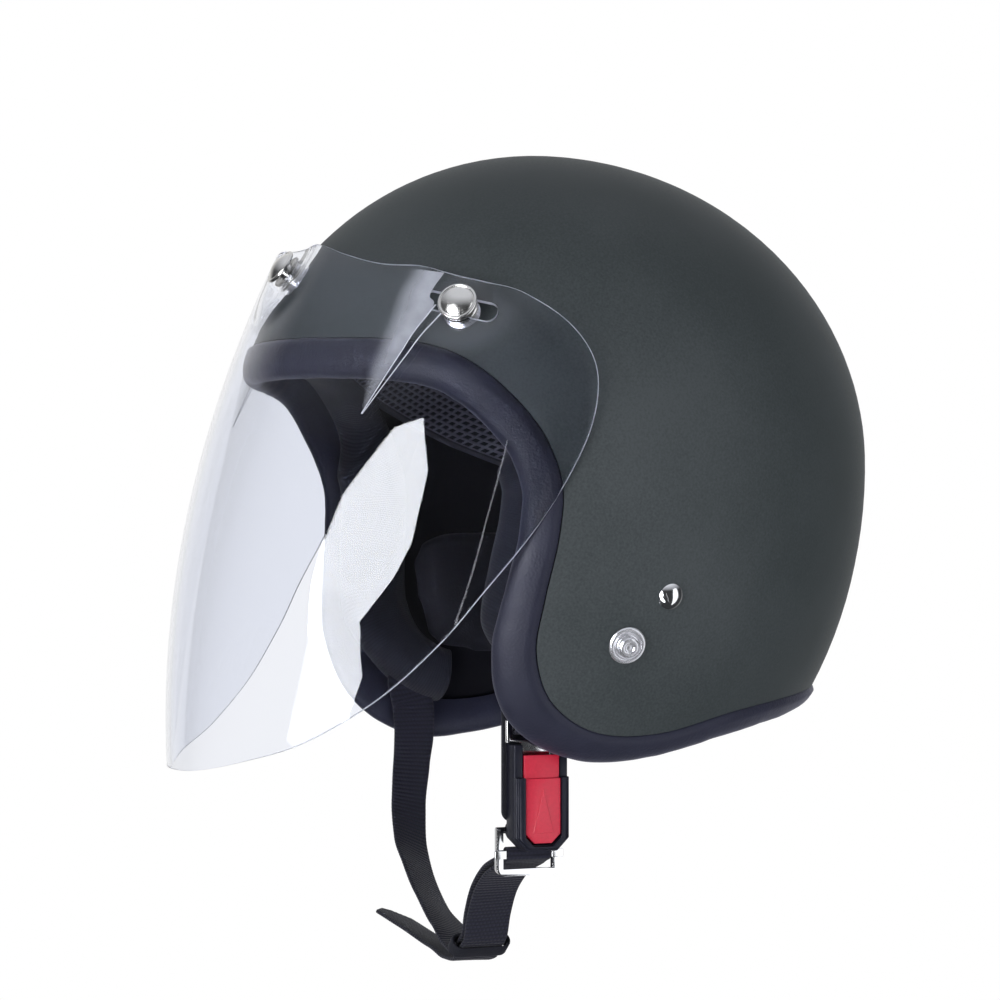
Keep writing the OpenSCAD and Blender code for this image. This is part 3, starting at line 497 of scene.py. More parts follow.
def make_grain_group():
    """Pebbled grain: small cells with soft edges over a slower swell."""
    tree, given, end = new_group("Grain", {"Vector": "Vector", "Scale": "Float", "Swell": "Float"},
                                 {"Height": "Float", "Mask": "Float"})
    cells = node(tree, "TexVoronoi", {"Vector": given["Vector"], "Scale": given["Scale"]},
                 feature="SMOOTH_F1")
    slow = clouds(tree, given["Vector"], SWELL_SCALE, 4.0)
    swell = maths(tree, "MULTIPLY", slow, given["Swell"])
    fill(tree, end, {"Height": maths(tree, "ADD", cells.outputs["Distance"], swell), "Mask": slow})
    return tree


def make_rib_group():
    """Woven ribs along V with finer yarns across U; the map is in metres."""
    tree, given, end = new_group("Ribs", {"Vector": "Vector", "Rib spacing": "Float",
                                          "Yarn spacing": "Float"}, {"Height": "Float"})
    parts = node(tree, "SeparateXYZ", {0: given["Vector"]}).outputs
    rib = maths(tree, "DIVIDE", parts["Y"], given["Rib spacing"])
    yarn = maths(tree, "DIVIDE", parts["X"], given["Yarn spacing"])
    shifted = maths(tree, "ADD", yarn, maths(tree, "MULTIPLY", maths(tree, "FLOOR", rib), 0.5))
    rows, yarns = (maths(tree, "ABSOLUTE", maths(tree, "SINE", maths(tree, "MULTIPLY", value, math.pi)))
                   for value in (rib, shifted))
    fill(tree, end, {"Height": maths(tree, "MULTIPLY", rows, remap(tree, yarns, to_low=0.6))})
    return tree


def make_tone_group():
    """A slow drift between two colours with fine specks, for paint and moulded plastic."""
    tree, given, end = new_group("Tone", {"Vector": "Vector", "Dark": "Color", "Light": "Color",
                                          "Speck scale": "Float"}, {"Color": "Color", "Speck": "Float"})
    slow = clouds(tree, given["Vector"], DRIFT_SCALE, 3.0)
    fine = clouds(tree, given["Vector"], given["Speck scale"], 2.0)
    share = remap(tree, maths(tree, "ADD", slow, fine), 0.7, 1.3)
    fill(tree, end, {"Color": mixed(tree, share, given["Dark"], given["Light"]), "Speck": fine})
    return tree


GRAIN, RIBS, TONE = make_grain_group(), make_rib_group(), make_tone_group()
print("node groups:", [g.name for g in bpy.data.node_groups])

# %% [markdown]
# ## Kinds of material
# Every finish starts from the Principled shader. Each maker below is one kind of stuff, such as paint or
# webbing, and takes what differs from piece to piece: two tones, how rough it is, how deep its texture.

# %% Material makers
def uneven(tree, value, low, high):
    """Roughness that follows a texture."""
    return remap(tree, value, 0.3, 0.7, low, high)


def raised(tree, height, depth, strength=1.0):
    """A normal from a texture's height."""
    return node(tree, "Bump", {"Height": height, "Distance": depth, "Strength": strength}).outputs["Normal"]


def painted(name, dark, light, rough, speck_scale, depth, gloss=0.5):
    """Paint or moulded plastic: drifting tone, fine texture."""
    material, tree, shader = new_material(name, {"Specular IOR Level": gloss})
    tone = node(tree, "Group", {"Vector": node(tree, "TexCoord").outputs["Object"], "Dark": (*dark, 1),
                                "Light": (*light, 1), "Speck scale": speck_scale}, node_tree=TONE).outputs
    fill(tree, shader, {"Base Color": tone["Color"], "Normal": raised(tree, tone["Speck"], depth),
                        "Roughness": uneven(tree, tone["Speck"], rough - 0.06, rough + 0.06)})
    return material


def plated(name, colour, rough, scratch=0.02, metallic=1, rub=0.12):
    """Plated metal with faint rubbing marks; satin plating is less than fully metallic."""
    material, tree, shader = new_material(name, {"Metallic": metallic, "Base Color": (*colour, 1)})
    marks = clouds(tree, node(tree, "TexCoord").outputs["Object"], 700.0, 6.0, 0.7)
    fill(tree, shader, {"Roughness": uneven(tree, marks, rough, rough + rub),
                        "Normal": raised(tree, marks, scratch * MM)})
    return material


def leathery(name, dark, light, rough, sheen, sheen_tint, grain_scale=1100.0):
    """Soft coated cloth with a pebbled grain."""
    material, tree, shader = new_material(name, {"Specular IOR Level": 0.25, "Sheen Weight": sheen,
                                                 "Sheen Roughness": 0.45, "Sheen Tint": (*sheen_tint, 1)})
    grain = node(tree, "Group", {"Vector": node(tree, "TexCoord").outputs["Object"], "Scale": grain_scale,
                                 "Swell": 0.5}, node_tree=GRAIN).outputs
    fill(tree, shader, {"Base Color": mixed(tree, grain["Mask"], (*dark, 1), (*light, 1)),
                        "Roughness": uneven(tree, grain["Mask"], rough - 0.05, rough + 0.08),
                        "Normal": raised(tree, grain["Height"], 0.12 * MM, 0.8)})
    return material


def ribbed(name, dark, light, rib, yarn, depth):
    """Ribbed webbing or knit, read from the piece's own map in metres."""
    material, tree, shader = new_material(name, {"Roughness": 0.75, "Specular IOR Level": 0.2,
                                                 "Sheen Weight": 0.08})
    ribs = node(tree, "Group", {"Vector": node(tree, "TexCoord").outputs["UV"], "Rib spacing": rib,
                                "Yarn spacing": yarn}, node_tree=RIBS).outputs
    fill(tree, shader, {"Base Color": mixed(tree, ribs["Height"], (*dark, 1), (*light, 1)),
                        "Normal": raised(tree, ribs["Height"], depth)})
    return material


def clear(name, tint, rough, share=1, ior=1.5):
    """Plastic that lets a share of the light through."""
    return new_material(name, {"Base Color": (*tint, 1), "Roughness": rough, "IOR": ior,
                               "Transmission Weight": share})[0]


def reflection_patch(name, colour, most):
    """A pale, partly clear patch on clear plastic, a painted reflection of a soft box: it starts softly
    where U is 0 and fades along V.
    """
    material, tree, shader = new_material(name, {"Base Color": (*colour, 1), "Roughness": 0.6,
                                                 "Specular IOR Level": 0.2})
    where = node(tree, "TexCoord").outputs
    along = node(tree, "SeparateXYZ", {0: where["UV"]}).outputs
    rise = remap(tree, along["X"], 0.0, 0.75, 0.0, most, "SMOOTHSTEP")
    fade = remap(tree, along["Y"], 0.0, 0.45, 0.25)
    # Soft noise makes the painted reflection patchy
    patchy = remap(tree, clouds(tree, where["Object"], 160.0, 3.0), 0.3, 0.7, 0.8)
    amount = maths(tree, "MULTIPLY", maths(tree, "MULTIPLY", rise, fade), patchy)
    bare = node(tree, "BsdfTransparent")
    surface(tree, node(tree, "MixShader", {"Fac": amount, 1: bare.outputs[0], 2: shader.outputs[0]}))
    return material


print("material makers are ready")

# %% [markdown]
# ## The helmet's materials
# Colours are those of the real thing in plain light, so the dark cloths are only a few hundredths of
# full white; the foam and the pad cloth are darker still, partly their own black and partly painted shade
# for the inside of the helmet. A cut edge of clear plastic passes little light and looks pale.

# %% Materials
SHELL_PAINT = painted("shell_paint", (0.033, 0.040, 0.041), (0.056, 0.063, 0.066), 0.58, 1100.0,
                      0.03 * MM, 0.14)
# Black foam made darker still, as painted shade inside the helmet
FOAM = painted("impact_foam", (0.003, 0.003, 0.005), (0.005, 0.005, 0.008), 0.85, 700.0, 0.05 * MM, 0.1)
TRIM_LEATHER = leathery("trim_leather", (0.0115, 0.0122, 0.0235), (0.0175, 0.0187, 0.0355), 0.5, 0.16,
                        (0.72, 0.72, 1.0))
# Black pad cloth made darker still, as painted shade inside the helmet
PAD_CLOTH = leathery("pad_cloth", (0.0033, 0.0036, 0.007), (0.0062, 0.0065, 0.012), 0.8, 0.05,
                     (0.8, 0.8, 1.0), 1500.0)
NET = painted("spacer_net", (0.055, 0.055, 0.075), (0.080, 0.080, 0.105), 0.7, 1800.0, 0.05 * MM, 0.2)
KNIT = ribbed("knit_band", (0.007, 0.0078, 0.014), (0.0125, 0.0135, 0.0235), 1.5 * MM, 0.7 * MM,
              0.12 * MM)
WEBBING = ribbed("webbing", (0.0055, 0.0055, 0.011), (0.0145, 0.0145, 0.027), 1.7 * MM, 0.8 * MM,
                 0.2 * MM)
SHIELD_CLEAR = clear("clear_shield", (0.93, 0.948, 1.0), 0.0, ior=1.46)
SHIELD_EDGE = clear("shield_edge", (0.58, 0.59, 0.67), 0.35, 0.2)
# The dart patch's pale colour is a painted reflection of a soft box
DART_REFLECTION = reflection_patch("dart_painted_reflection", (0.62, 0.64, 0.72), 0.55)
SNAP_NICKEL = plated("snap_nickel", (0.66, 0.65, 0.63), 0.16)
STUD_NICKEL = plated("stud_nickel", (0.7, 0.7, 0.73), 0.24, 0.001, 0.8, 0.02)
CHROME = plated("chrome", (0.78, 0.78, 0.79), 0.05, 0.005)
STEEL = plated("inner_steel", (0.5, 0.5, 0.5), 0.35)
BUCKLE_PLASTIC = painted("buckle_plastic", (0.0052, 0.0056, 0.012), (0.0088, 0.0094, 0.0185), 0.42, 900.0,
                         0.03 * MM, 0.25)
BUTTON_RED = painted("button_red", (0.48, 0.008, 0.031), (0.57, 0.013, 0.042), 0.38, 900.0, 0.004 * MM)
print("materials:", len(bpy.data.materials))

# %% [markdown]
# ## The shell and the foam
# A grid is wrapped round the dome from the edge line to a point behind the crown, and Solidify gives it
# its wall. The foam under it has pockets for the rivets, so it keeps the solid model's shape.

# %% Shell and foam
EDGE_COLUMNS = 8 * EDGE_COUNT
DOME_ROWS = 36


def dome_place(u, v):
    """A point of the shell, as v goes from the edge line to the pole."""
    d = edge_toward(u)
    angle = d.angle(DOME_POLE)
    return skin((DOME_POLE * math.sin(v * angle) + d * math.sin((1 - v) * angle)) / math.sin(angle))


shell = placed_grid("painted_shell", EDGE_COLUMNS, DOME_ROWS, dome_place)
finish_with(shell, "SOLIDIFY", thickness=SHELL_WALL, offset=-1)
crisp(shell, 50)
wear(shell, SHELL_PAINT, "helmet", "shell_paint", "outer_shell")
foam = solid_copy("impact_liner", "foam_liner")
crisp(foam, 40)
wear(foam, FOAM, "helmet", "impact_foam", "impact_liner")

# %% [markdown]
# ## The padded trim
# A soft roll of coated cloth is drawn round the whole edge. Its section is a fat half round that is
# widest at the jaw corners. The roll isn't perfectly even: it swells and gathers a little, most of all
# where it goes round the tight corners.

# %% Padded trim
TRIM_GAP = 0.4 * MM
TRIM_DEPTH = 12 * MM
TRIM_PROUD = 1.5 * MM
TRIM_COLUMNS = 20 * EDGE_COUNT
TUCK = 1.7 * MM
TUCK_SHARE = 0.13
ROLL_FULLNESS = 0.7
# Height and fineness of the roll's slow swells and of its small gathers
UNEVENNESS = [(0.35 * MM, 45), (0.18 * MM, 160)]
# Angles round the roll from its inner to its outer edge, closer where it tucks in beside the shell
ROLL_ANGLES = list(range(-90, 90, 10)) + [86, 88.6, 89.6, 90]
BACK_STEPS = 6
TRIM_ROWS = len(ROLL_ANGLES) - 1 + BACK_STEPS


def edge_axes(u):
    """A point of the edge line, its outward normal and the way off the shell."""
    step = 0.25 / EDGE_COUNT
    d = edge_toward(u)
    along = (skin(edge_toward(u + step)) - skin(edge_toward(u - step))).normalized()
    out = outward(d)
    return skin(d), out, along.cross(out).normalized()


def trim_section(v):
    """Place on the section: share of the width, share of the half depth, tuck."""
    i = round(v * TRIM_ROWS)
    if i < len(ROLL_ANGLES):
        angle = math.radians(ROLL_ANGLES[i])
        across = max(math.cos(angle), 0) ** ROLL_FULLNESS
        return across, math.sin(angle), TUCK * max(0, 1 - across / TUCK_SHARE) if angle > 0 else 0
    return 0, 1 - 2 * (i - len(ROLL_ANGLES) + 1) / BACK_STEPS, 0


def trim_place(u, v):
    """A point of the roll, a little uneven as soft things are."""
    at, out, away = edge_axes(u % 1)
    width = edge_at(u % 1)[2]
    across, level, tuck = trim_section(v)
    soft = sum(height * noise.noise(at * fine) for height, fine in UNEVENNESS)
    reach = TRIM_GAP + (width - TRIM_GAP) * across
    rise = TRIM_PROUD - TRIM_DEPTH / 2 + level * (TRIM_DEPTH / 2 + soft * across) - tuck
    return at + away * (reach + soft * across) + out * rise


trim = placed_grid("trim_roll", TRIM_COLUMNS, TRIM_ROWS, trim_place)
crisp(trim, 60)
wear(trim, TRIM_LEATHER, "helmet", "trim_leather", "edge_trim")

# %% [markdown]
# ## The clear shield
# The sheet is bent round a level circle at every height, and it flattens where a snap holds it. Its
# outline is a closed curve of bearings and heights. The holes are cut with Boolean modifiers: a round
# one at the middle snap and a slot at each side snap.

# %% Shield
SHIELD_WALL = 2 * MM
SHIELD_LIFT = 6.8 * MM
NECK_HOLE_R = 3.9 * MM
SLOT_LENGTH = 31 * MM
SLOT_SLOPE = math.radians(14)
SEAT_R = 12 * MM
SEAT_FADE = 14 * MM
MIDDLE_SNAP = (0, 71 * MM)
SIDE_SNAP = (math.radians(52.6), 54 * MM)
SEATS = [MIDDLE_SNAP, SIDE_SNAP, (-SIDE_SNAP[0], SIDE_SNAP[1])]
# Length and slope of the hole at each seat
HOLES = [(2 * NECK_HOLE_R, 0), (SLOT_LENGTH, -SLOT_SLOPE), (SLOT_LENGTH, SLOT_SLOPE)]
CUTTER_DEPTH = 14 * MM
SHIELD_MIDDLE = Vector((0, -12))
# The sheet's foremost line and the radius of its bend: terms of curves over the height in millimetres
BEND_FRONT = (-136, 0.2844, 0.00124)
BEND_RADIUS = (119, 0.174, -0.00231, 0.00000505)
# Outline on the wearer's left from the tab to the lower tip: bearing in degrees, height in millimetres
SHIELD_HALF = [(0, 84.5), (11, 83.8), (21, 78.6), (31, 74), (42, 72), (54, 66.8), (66, 55.9),
               (74, 43.9), (79, 30), (81.5, 11), (81.4, -10), (80, -30), (77.6, -50), (75.5, -70),
               (70, -91), (58, -106.5), (40, -114), (20, -118.2), (0, -119)]
SHIELD_COUNT = 2 * (len(SHIELD_HALF) - 1)
SHIELD_COLUMNS, SHIELD_ROWS = 8 * SHIELD_COUNT, 70


def shield_control(i):
    """Control of the shield's outline, counted on and on round it."""
    k = i % SHIELD_COUNT
    half = k < len(SHIELD_HALF)
    bearing, height = SHIELD_HALF[k if half else SHIELD_COUNT - k]
    return Vector((bearing if half else -bearing, height))


def to_seat(p, bearing, height):
    """Pull of a shield point towards a snap's seat, fading out round it."""
    d = toward(bearing, height)
    out = outward(d)
    q = p - skin(d)
    rise = q.dot(out)
    wide = (q - out * rise).length
    return out * (SHIELD_LIFT - rise) * (1 - ease((wide - SEAT_R) / SEAT_FADE))


def curve(terms, z):
    """Value of a curve at a height, from its terms."""
    return sum(term * z ** power for power, term in enumerate(terms))


def shield_at(bearing, z):
    """Point of the shield's inner face at a bearing in degrees and a height in millimetres."""
    front, radius = curve(BEND_FRONT, z), curve(BEND_RADIUS, z)
    turn = math.radians(bearing)
    p = Vector((radius * math.sin(turn), front + radius * (1 - math.cos(turn)), z)) * MM
    return p + sum((to_seat(p, *seat) for seat in SEATS), Vector())


def shield_place(u, v):
    """A point of the sheet, as v goes from its outline to its middle."""
    p = SHIELD_MIDDLE + (round_curve(shield_control, SHIELD_COUNT, u) - SHIELD_MIDDLE) * (1 - v)
    return shield_at(p.x, p.y)


def hole_cutter(length, place):
    """A hole's shape: a cylinder, drawn out into a slot if the hole is long."""
    bpy.ops.object.select_all(action="DESELECT")
    bpy.ops.mesh.primitive_cylinder_add(vertices=48, radius=NECK_HOLE_R, depth=CUTTER_DEPTH)
    cutter = bpy.context.object
    for point in cutter.data.vertices:
        point.co.x += math.copysign(length / 2 - NECK_HOLE_R, point.co.x)
    cutter.data.transform(place)
    cutter.data.materials.append(SHIELD_EDGE)
    return cutter


shield = placed_grid("clear_shield", SHIELD_COLUMNS, SHIELD_ROWS, shield_place)
shield.data.materials.append(SHIELD_CLEAR)
shield.data.materials.append(SHIELD_EDGE)
finish_with(shield, "SOLIDIFY", thickness=SHIELD_WALL, offset=1, material_offset_rim=1)
for seat, (length, slope) in zip(SEATS, HOLES):
    cutter = hole_cutter(length, shell_place(*seat, SHIELD_LIFT) @ Matrix.Rotation(slope, 4, "Z"))
    finish_with(shield, "BOOLEAN", operation="DIFFERENCE", object=cutter, solver="EXACT",
                material_mode="TRANSFER")
    bpy.data.objects.remove(cutter)
crisp(shield, 40)
wear(shield, SHIELD_CLEAR, "shield", "clear_shield", "shield")

# %% [markdown]
# ## The shield's darts
# A flat sheet takes a double curve only if it is gathered somewhere. This one has a dart below each side
# snap: two fine ridges that meet in a point, and beside them a stretch that is pulled flat, where a pale,
# partly clear patch is a painted reflection of a soft box. They are thin pieces laid on the outer face.

# %% Shield darts
# Outline of the patch of painted reflection: bearing in degrees and height in millimetres, from the upper
# edge to the dart's point
REFLECTION_FRONT = [(37.8, 70.5), (36.9, 60), (37, 52), (37.2, 42), (37.5, 30), (39.5, 16)]
REFLECTION_REAR = [(44.5, 70.5), (43.8, 61), (45.3, 56.5), (43.2, 42), (41.6, 30), (39.6, 16)]
RIDGES = [((45.6, 57), (39.5, 16)), ((47.6, 55), (39.7, 16))]
REFLECTION_LIFT = 0.06 * MM
RIDGE_HALF = 0.45 * MM
RIDGE_RISE = 0.35 * MM


def on_shield(bearing, height, lift):
    """A point above the shield's outer face."""
    at = shield_at(bearing, height)
    out = (shield_at(bearing + 0.2, height) - at).cross(shield_at(bearing, height + 0.4) - at).normalized()
    return at + out * (SHIELD_WALL + lift)


def along_list(points, v):
    """A point a share of the way along a list of points."""
    i = min(int(v * (len(points) - 1)), len(points) - 2)
    ends = [Vector(points[min(max(k, 0), len(points) - 1)]) for k in (i - 1, i, i + 1, i + 2)]
    return smooth(*ends, v * (len(points) - 1) - i)


def reflection_place(u, v):
    """A point of the hazy stretch, between its front and its rear line."""
    p = along_list(REFLECTION_FRONT, 1 - v).lerp(along_list(REFLECTION_REAR, 1 - v), u)
    return on_shield(p.x, p.y, REFLECTION_LIFT)


def ridge_place(start, end):
    """The place function of one ridge, which gets narrower on its way."""
    def place(u, v):
        p = Vector(start).lerp(Vector(end), v)
        half = RIDGE_HALF * (1 - 0.5 * v)
        side = (on_shield(p.x + 0.2, p.y + 0.1, 0) - on_shield(p.x - 0.2, p.y - 0.1, 0)).normalized()
        lift = RIDGE_RISE * (1 - abs(2 * u - 1))
        return on_shield(p.x, p.y, lift) + side * half * (2 * u - 1)
    return place


# The pale patch is a painted reflection of a soft box
parts = [placed_grid("dart_reflection", 16, 40, reflection_place)]
parts[0].data.materials.append(DART_REFLECTION)
for start, end in RIDGES:
    parts.append(placed_grid("ridge", 2, 48, ridge_place(start, end)))
    parts[-1].data.materials.append(SHIELD_EDGE)
darts = copies_at("shield_darts", joined("dart", parts), [Matrix(), MIRROR])
wear(darts, DART_REFLECTION, "shield", "clear_shield")

# %% [markdown]
# ## Snaps, studs and rivets
# Turned parts are lathed: a profile of radii and heights is spun round an axis by wrapping a grid. One
# snap is made at the origin and copies go to their places on the shell.

# %% Turned parts
LATHE_STEPS = 64
ARCH_STEPS = 8
TURNED_BEVEL = 0.12 * MM
RIVET_PLACE = shell_place(math.radians(92.4), -51.6 * MM)


def both(place):
    """A place on the left and the same on the right."""
    return [place, MIRROR @ place]


def lathe(profile):
    """A turned piece from a profile of radii and heights in millimetres."""
    def place(u, v):
        radius, height = profile[round(v * (len(profile) - 1))]
        return Vector((radius * math.cos(2 * math.pi * u), radius * math.sin(2 * math.pi * u), height)) * MM
    piece = placed_grid("turned", LATHE_STEPS, len(profile) - 1, place)
    soften(piece, TURNED_BEVEL, 30)
    return piece


def arch(radius, base, top):
    """Profile of a dome from its rim to its top."""
    rise = top - base
    ball = (radius * radius + rise * rise) / (2 * rise)
    slopes = [math.asin(radius / ball) * (1 - k / ARCH_STEPS) for k in range(ARCH_STEPS + 1)]
    return [(ball * math.sin(slope), top - ball * (1 - math.cos(slope))) for slope in slopes]


BROW_PLACES = [shell_place(*MIDDLE_SNAP)] + both(shell_place(*SIDE_SNAP))
STUD_PLACES = both(shell_place(math.radians(84.7), -69.5 * MM))
SNAP = ("shield", "snap_metal")
STUD = ("helmet", "snap_metal")
# Name, solid, places, material, body and finish, then the profile
TURNED = [
    ("snap_cap_tops", "snap_caps", BROW_PLACES, SNAP_NICKEL, SNAP,
     [(0, 6.05), (1.6, 6.05), (1.6, 9), (7.1, 9), (7.5, 9.35), (7.5, 9.9), (7.2, 10.3), (6.6, 10.4),
      (6.45, 10.2), (6.2, 10.2)] + arch(6, 10.45, 12.4)),
    ("snap_socket_rings", "snap_sockets", BROW_PLACES, SNAP_NICKEL, SNAP,
     [(0, 5.5), (2, 5.3), (3.6, 4.6), (4.7, 3.85), (6.5, 3.85), (7, 4.35), (7, 4.7), (6.6, 4.85),
      (6.6, 5.35), (7, 5.5), (7, 5.95), (6.4, 6.55), (3.3, 6.55), (3.3, 8.8), (1.8, 8.8),
      (1.8, 5.85), (0, 5.85)]),
    ("brow_studs", "brow_snap_studs", BROW_PLACES, STUD_NICKEL, STUD,
     [(0, 2.6), (2.2, 2.6), (2.2, 0.1), (7, 0.1), (7, 1), (5.6, 1.6), (5.5, 3.6)] + arch(4.5, 3.65, 5.24)),
    ("side_studs", "side_snap_studs", STUD_PLACES, STUD_NICKEL, STUD,
     [(0, 2.6), (2.2, 2.6), (2.2, 0.1), (7.3, 0.1), (7.3, 0.8), (6.7, 1.4), (5.5, 1.4),
      (4.9, 0.8), (4, 0.8), (4, 3), (3.3, 3.6), (2, 3.6), (1.5, 3.1), (0.6, 3.1), (0, 3.2)]),
    ("strap_rivet_heads", "strap_rivets", both(RIVET_PLACE), CHROME, ("helmet", "rivet_chrome"),
     [(0, -10.9), (4.2, -10.9), (4.6, -9.7), (2.4, -9.7), (2.4, 0.1)] + arch(5.2, 0.1, 2.5))]
for name, source, places, material, ride, profile in TURNED:
    wear(copies_at(name, lathe(profile), places), material, *ride, source)

# %% [markdown]
# ## Where the straps run
# Each strap follows a run of points, given in millimetres: folds round the bars that hold it, a
# free fall under the chin, a pass through the keeper and a turn round the adjuster's bar.

# %% Strap runs
STRAP_WIDTH = 18.5
STRAP_THICK = 1.5
RIB = 1.7
TONGUE_X = 70.0
BUCKLE_Y = -30.5
ADJUSTER_X = 61.9
BAR_Z = -150.7
KEEPER = Vector((16, -31, -191))
KEEPER_TURN = math.radians(40)
FOLD_GAP = 1.25
rivet_at = RIVET_PLACE.translation / MM
rivet_out = RIVET_PLACE.col[2].to_3d()
strap_pull = Vector((TONGUE_X, BUCKLE_Y, -99.5)) - rivet_at
strap_down = (strap_pull - rivet_out * strap_pull.dot(rivet_out)).normalized()
strap_side = rivet_out.cross(strap_down)


def flipped(v):
    """The same point on the other side."""
    return Vector((-v.x, v.y, v.z))


def turn_round(centre_x, centre_z, radius, first, last):
    """Points of half a turn round a bar, in steps of 45 degrees."""
    step = 45 if last > first else -45
    return [(centre_x + radius * math.cos(math.radians(a)), centre_z + radius * math.sin(math.radians(a)))
            for a in range(first, last + step, step)]


# Fold round the anchor plate's bar: down the strap and out from the shell
anchor_fold = [(16.9, -6.75)] + turn_round(15.25, -8.75, 2, 90, 270) + [(19, -11.15), (25, -12.95)]
left_fold = [rivet_at + strap_down * down + rivet_out * out for down, out in anchor_fold]
# Fold round the tongue's bar
tongue_fold = [Vector((x, BUCKLE_Y, z)) for x, z in
               [(75.65, -96), (72.45, -99.5)] + turn_round(TONGUE_X, -101.6, 2.15, 0, -180) + [(67.85, -94)]]
straight = [left_fold[-1].lerp(tongue_fold[0], share) for share in (0.35, 0.65, 0.87)]
left_run = left_fold + straight + tongue_fold
right_fold = [flipped(p) for p in left_fold]


def in_keeper(inward):
    """Three points of a strap inside its keeper, towards the buckle."""
    along = Vector((math.cos(KEEPER_TURN), 0, math.sin(KEEPER_TURN)))
    inside = Vector((-math.sin(KEEPER_TURN), 0, math.cos(KEEPER_TURN)))
    return [tuple(KEEPER + along * step + inside * inward) for step in (-7, 0, 7)]


strap_hang = [Vector(p) for p in [
    (-79.5, -22.5, -89), (-75.5, -22.5, -102), (-74.5, -22.5, -114), (-75, -23.5, -127), (-73, -25.5, -143),
    (-64.5, -28, -158), (-50.5, -30, -168.5), (-34, -31, -179), (-14, -31, -188), (-1, -31, -192.5)]
    + in_keeper(1.5) + [(24.4, -31.5, -176.7), (31.9, -32, -166.2), (41.9, -32, -158.2),
                        (50.4, -31.5, -154.3)]]
bar_turn = [Vector((ADJUSTER_X + x, BUCKLE_Y, BAR_Z + z)) for x, z in (
    (-5.2, -1.7), (-2.6, -0.3), (-1.7, 1.1), (-1.25, 1.85), (0, 2.27), (1.25, 1.85), (1.67, 1.1),
    (1.67, -1.1), (1.25, -1.85), (0, -2.27), (-2, -2.9), (-5.2, -4.15))]
strap_return = [Vector(p) for p in [
    (50.4, -31.5, -157.3), (43.1, -32, -161.1), (34.3, -32, -168.3), (27.1, -31.5, -178.1)]
    + in_keeper(-1.5)[::-1] + [(0, -31, -198), (-15, -32, -196.5), (-38, -35, -192), (-58, -37.5, -188),
                               (-66, -38.5, -186.5)]]
right_run = right_fold + strap_hang + bar_turn + strap_return
# Roll of the webbing about its own run, in degrees, at the points of the fall and of the free end
FALL_ROLL = [0, 0, 6, 13, 20, 26, 31, 30, 18, 4]
TAIL_ROLL = [-4, -14, -18, -18, -18]
right_roll = [0] * len(right_fold) + FALL_ROLL
right_roll += [0] * (len(right_run) - len(right_roll) - len(TAIL_ROLL)) + TAIL_ROLL
print("strap points:", len(left_run), len(right_run))

# %% [markdown]
# ## Webbing
# A run is smoothed and cut into even steps, four to a rib, and a flat section with thin selvedges is
# drawn along it. The ribs are real: the section swells and thins from step to step.

# %% Webbing
RIB_STEP = RIB / 4
FINE_STEPS = 24
TIP_LENGTH = 7
# Shares of half the width and half the thickness, across the upper face and back along the lower one
SECTION = [(-1, 0.4), (-0.97, 0.9), (-0.9, 1), (-0.45, 1), (0, 1), (0.45, 1), (0.9, 1), (0.97, 0.9),
           (1, 0.4)]
SECTION += [(across, -height) for across, height in reversed(SECTION)]
RIB_SWELL = 0.1
BAR_SQUEEZE = 0.4


def even_run(points):
    """A smooth run in even steps, with the place of each step in the list of points."""
    fine = []
    for i in range(len(points) - 1):
        a, d = points[max(i - 1, 0)], points[min(i + 2, len(points) - 1)]
        for share in (k / FINE_STEPS for k in range(FINE_STEPS)):
            fine.append((smooth(a, points[i], points[i + 1], d, share), i + share))
    fine.append((points[-1], len(points) - 1))
    run, carry = [fine[0]], 0
    for (p, s), (q, t) in zip(fine, fine[1:]):
        length = (q - p).length
        while length > 0 and carry + length >= RIB_STEP:
            share = (RIB_STEP - carry) / length
            p, s = p.lerp(q, share), s + (t - s) * share
            run.append((p, s))
            length = (q - p).length
            carry = 0
        carry += length
    return run


def roll_at(rolls, s):
    """Roll in radians at a place along the list of points."""
    i = min(int(s), len(rolls) - 2)
    return math.radians(rolls[i] + (rolls[i + 1] - rolls[i]) * ease(s - i))


def webbing(name, run, first_across, turned, rolls, pointed=False, squeeze=0):
    """Ribbed webbing along a run; its width turns from first_across to level, then rolls."""
    last = len(run) - 1
    first_s, last_s = run[0][1], run[-1][1]
    flat = Vector((0, 1, 0))

    def place(u, v):
        i = round(v * last)
        p, s = run[i]
        along = (run[min(i + 1, last)][0] - run[max(i - 1, 0)][0]).normalized()
        level = ease((s - turned[0]) / (turned[1] - turned[0]))
        roll = roll_at(rolls, s)
        rolled = flat * math.cos(roll) - along.cross(flat).normalized() * math.sin(roll)
        across = (first_across * (1 - level) + rolled * level).normalized()
        up = across.cross(along).normalized()
        side = along.cross(up)
        wide, high = SECTION[round(u * len(SECTION)) % len(SECTION)]
        rib = RIB_SWELL * (abs(math.sin(math.pi * i / 4)) - 0.5)
        tip = min(1, 0.3 + 0.7 * (last - i) * RIB_STEP / TIP_LENGTH) if pointed else 1
        thick = STRAP_THICK - squeeze * ease(min(s - first_s, last_s - s) / 2)
        return (p + side * wide * tip * STRAP_WIDTH / 2 + up * high * (thick / 2 + rib)) * MM

    piece = placed_grid(name, len(SECTION), last, place, (2 * STRAP_WIDTH * MM, last * RIB_STEP * MM))
    edit(piece, bpy.ops.mesh.normals_make_consistent, inside=False)
    edit(piece, cap_ends)
    crisp(piece, 60)
    return piece


def cap_ends():
    """In edit mode, fills the open ends of a tube."""
    bpy.ops.mesh.select_all(action="DESELECT")
    bpy.ops.mesh.select_non_manifold()
    bpy.ops.mesh.fill()


def part_of(run, first, last):
    """The stretch of a run between two places in its list of points."""
    return [step for step in run if first <= step[1] <= last]


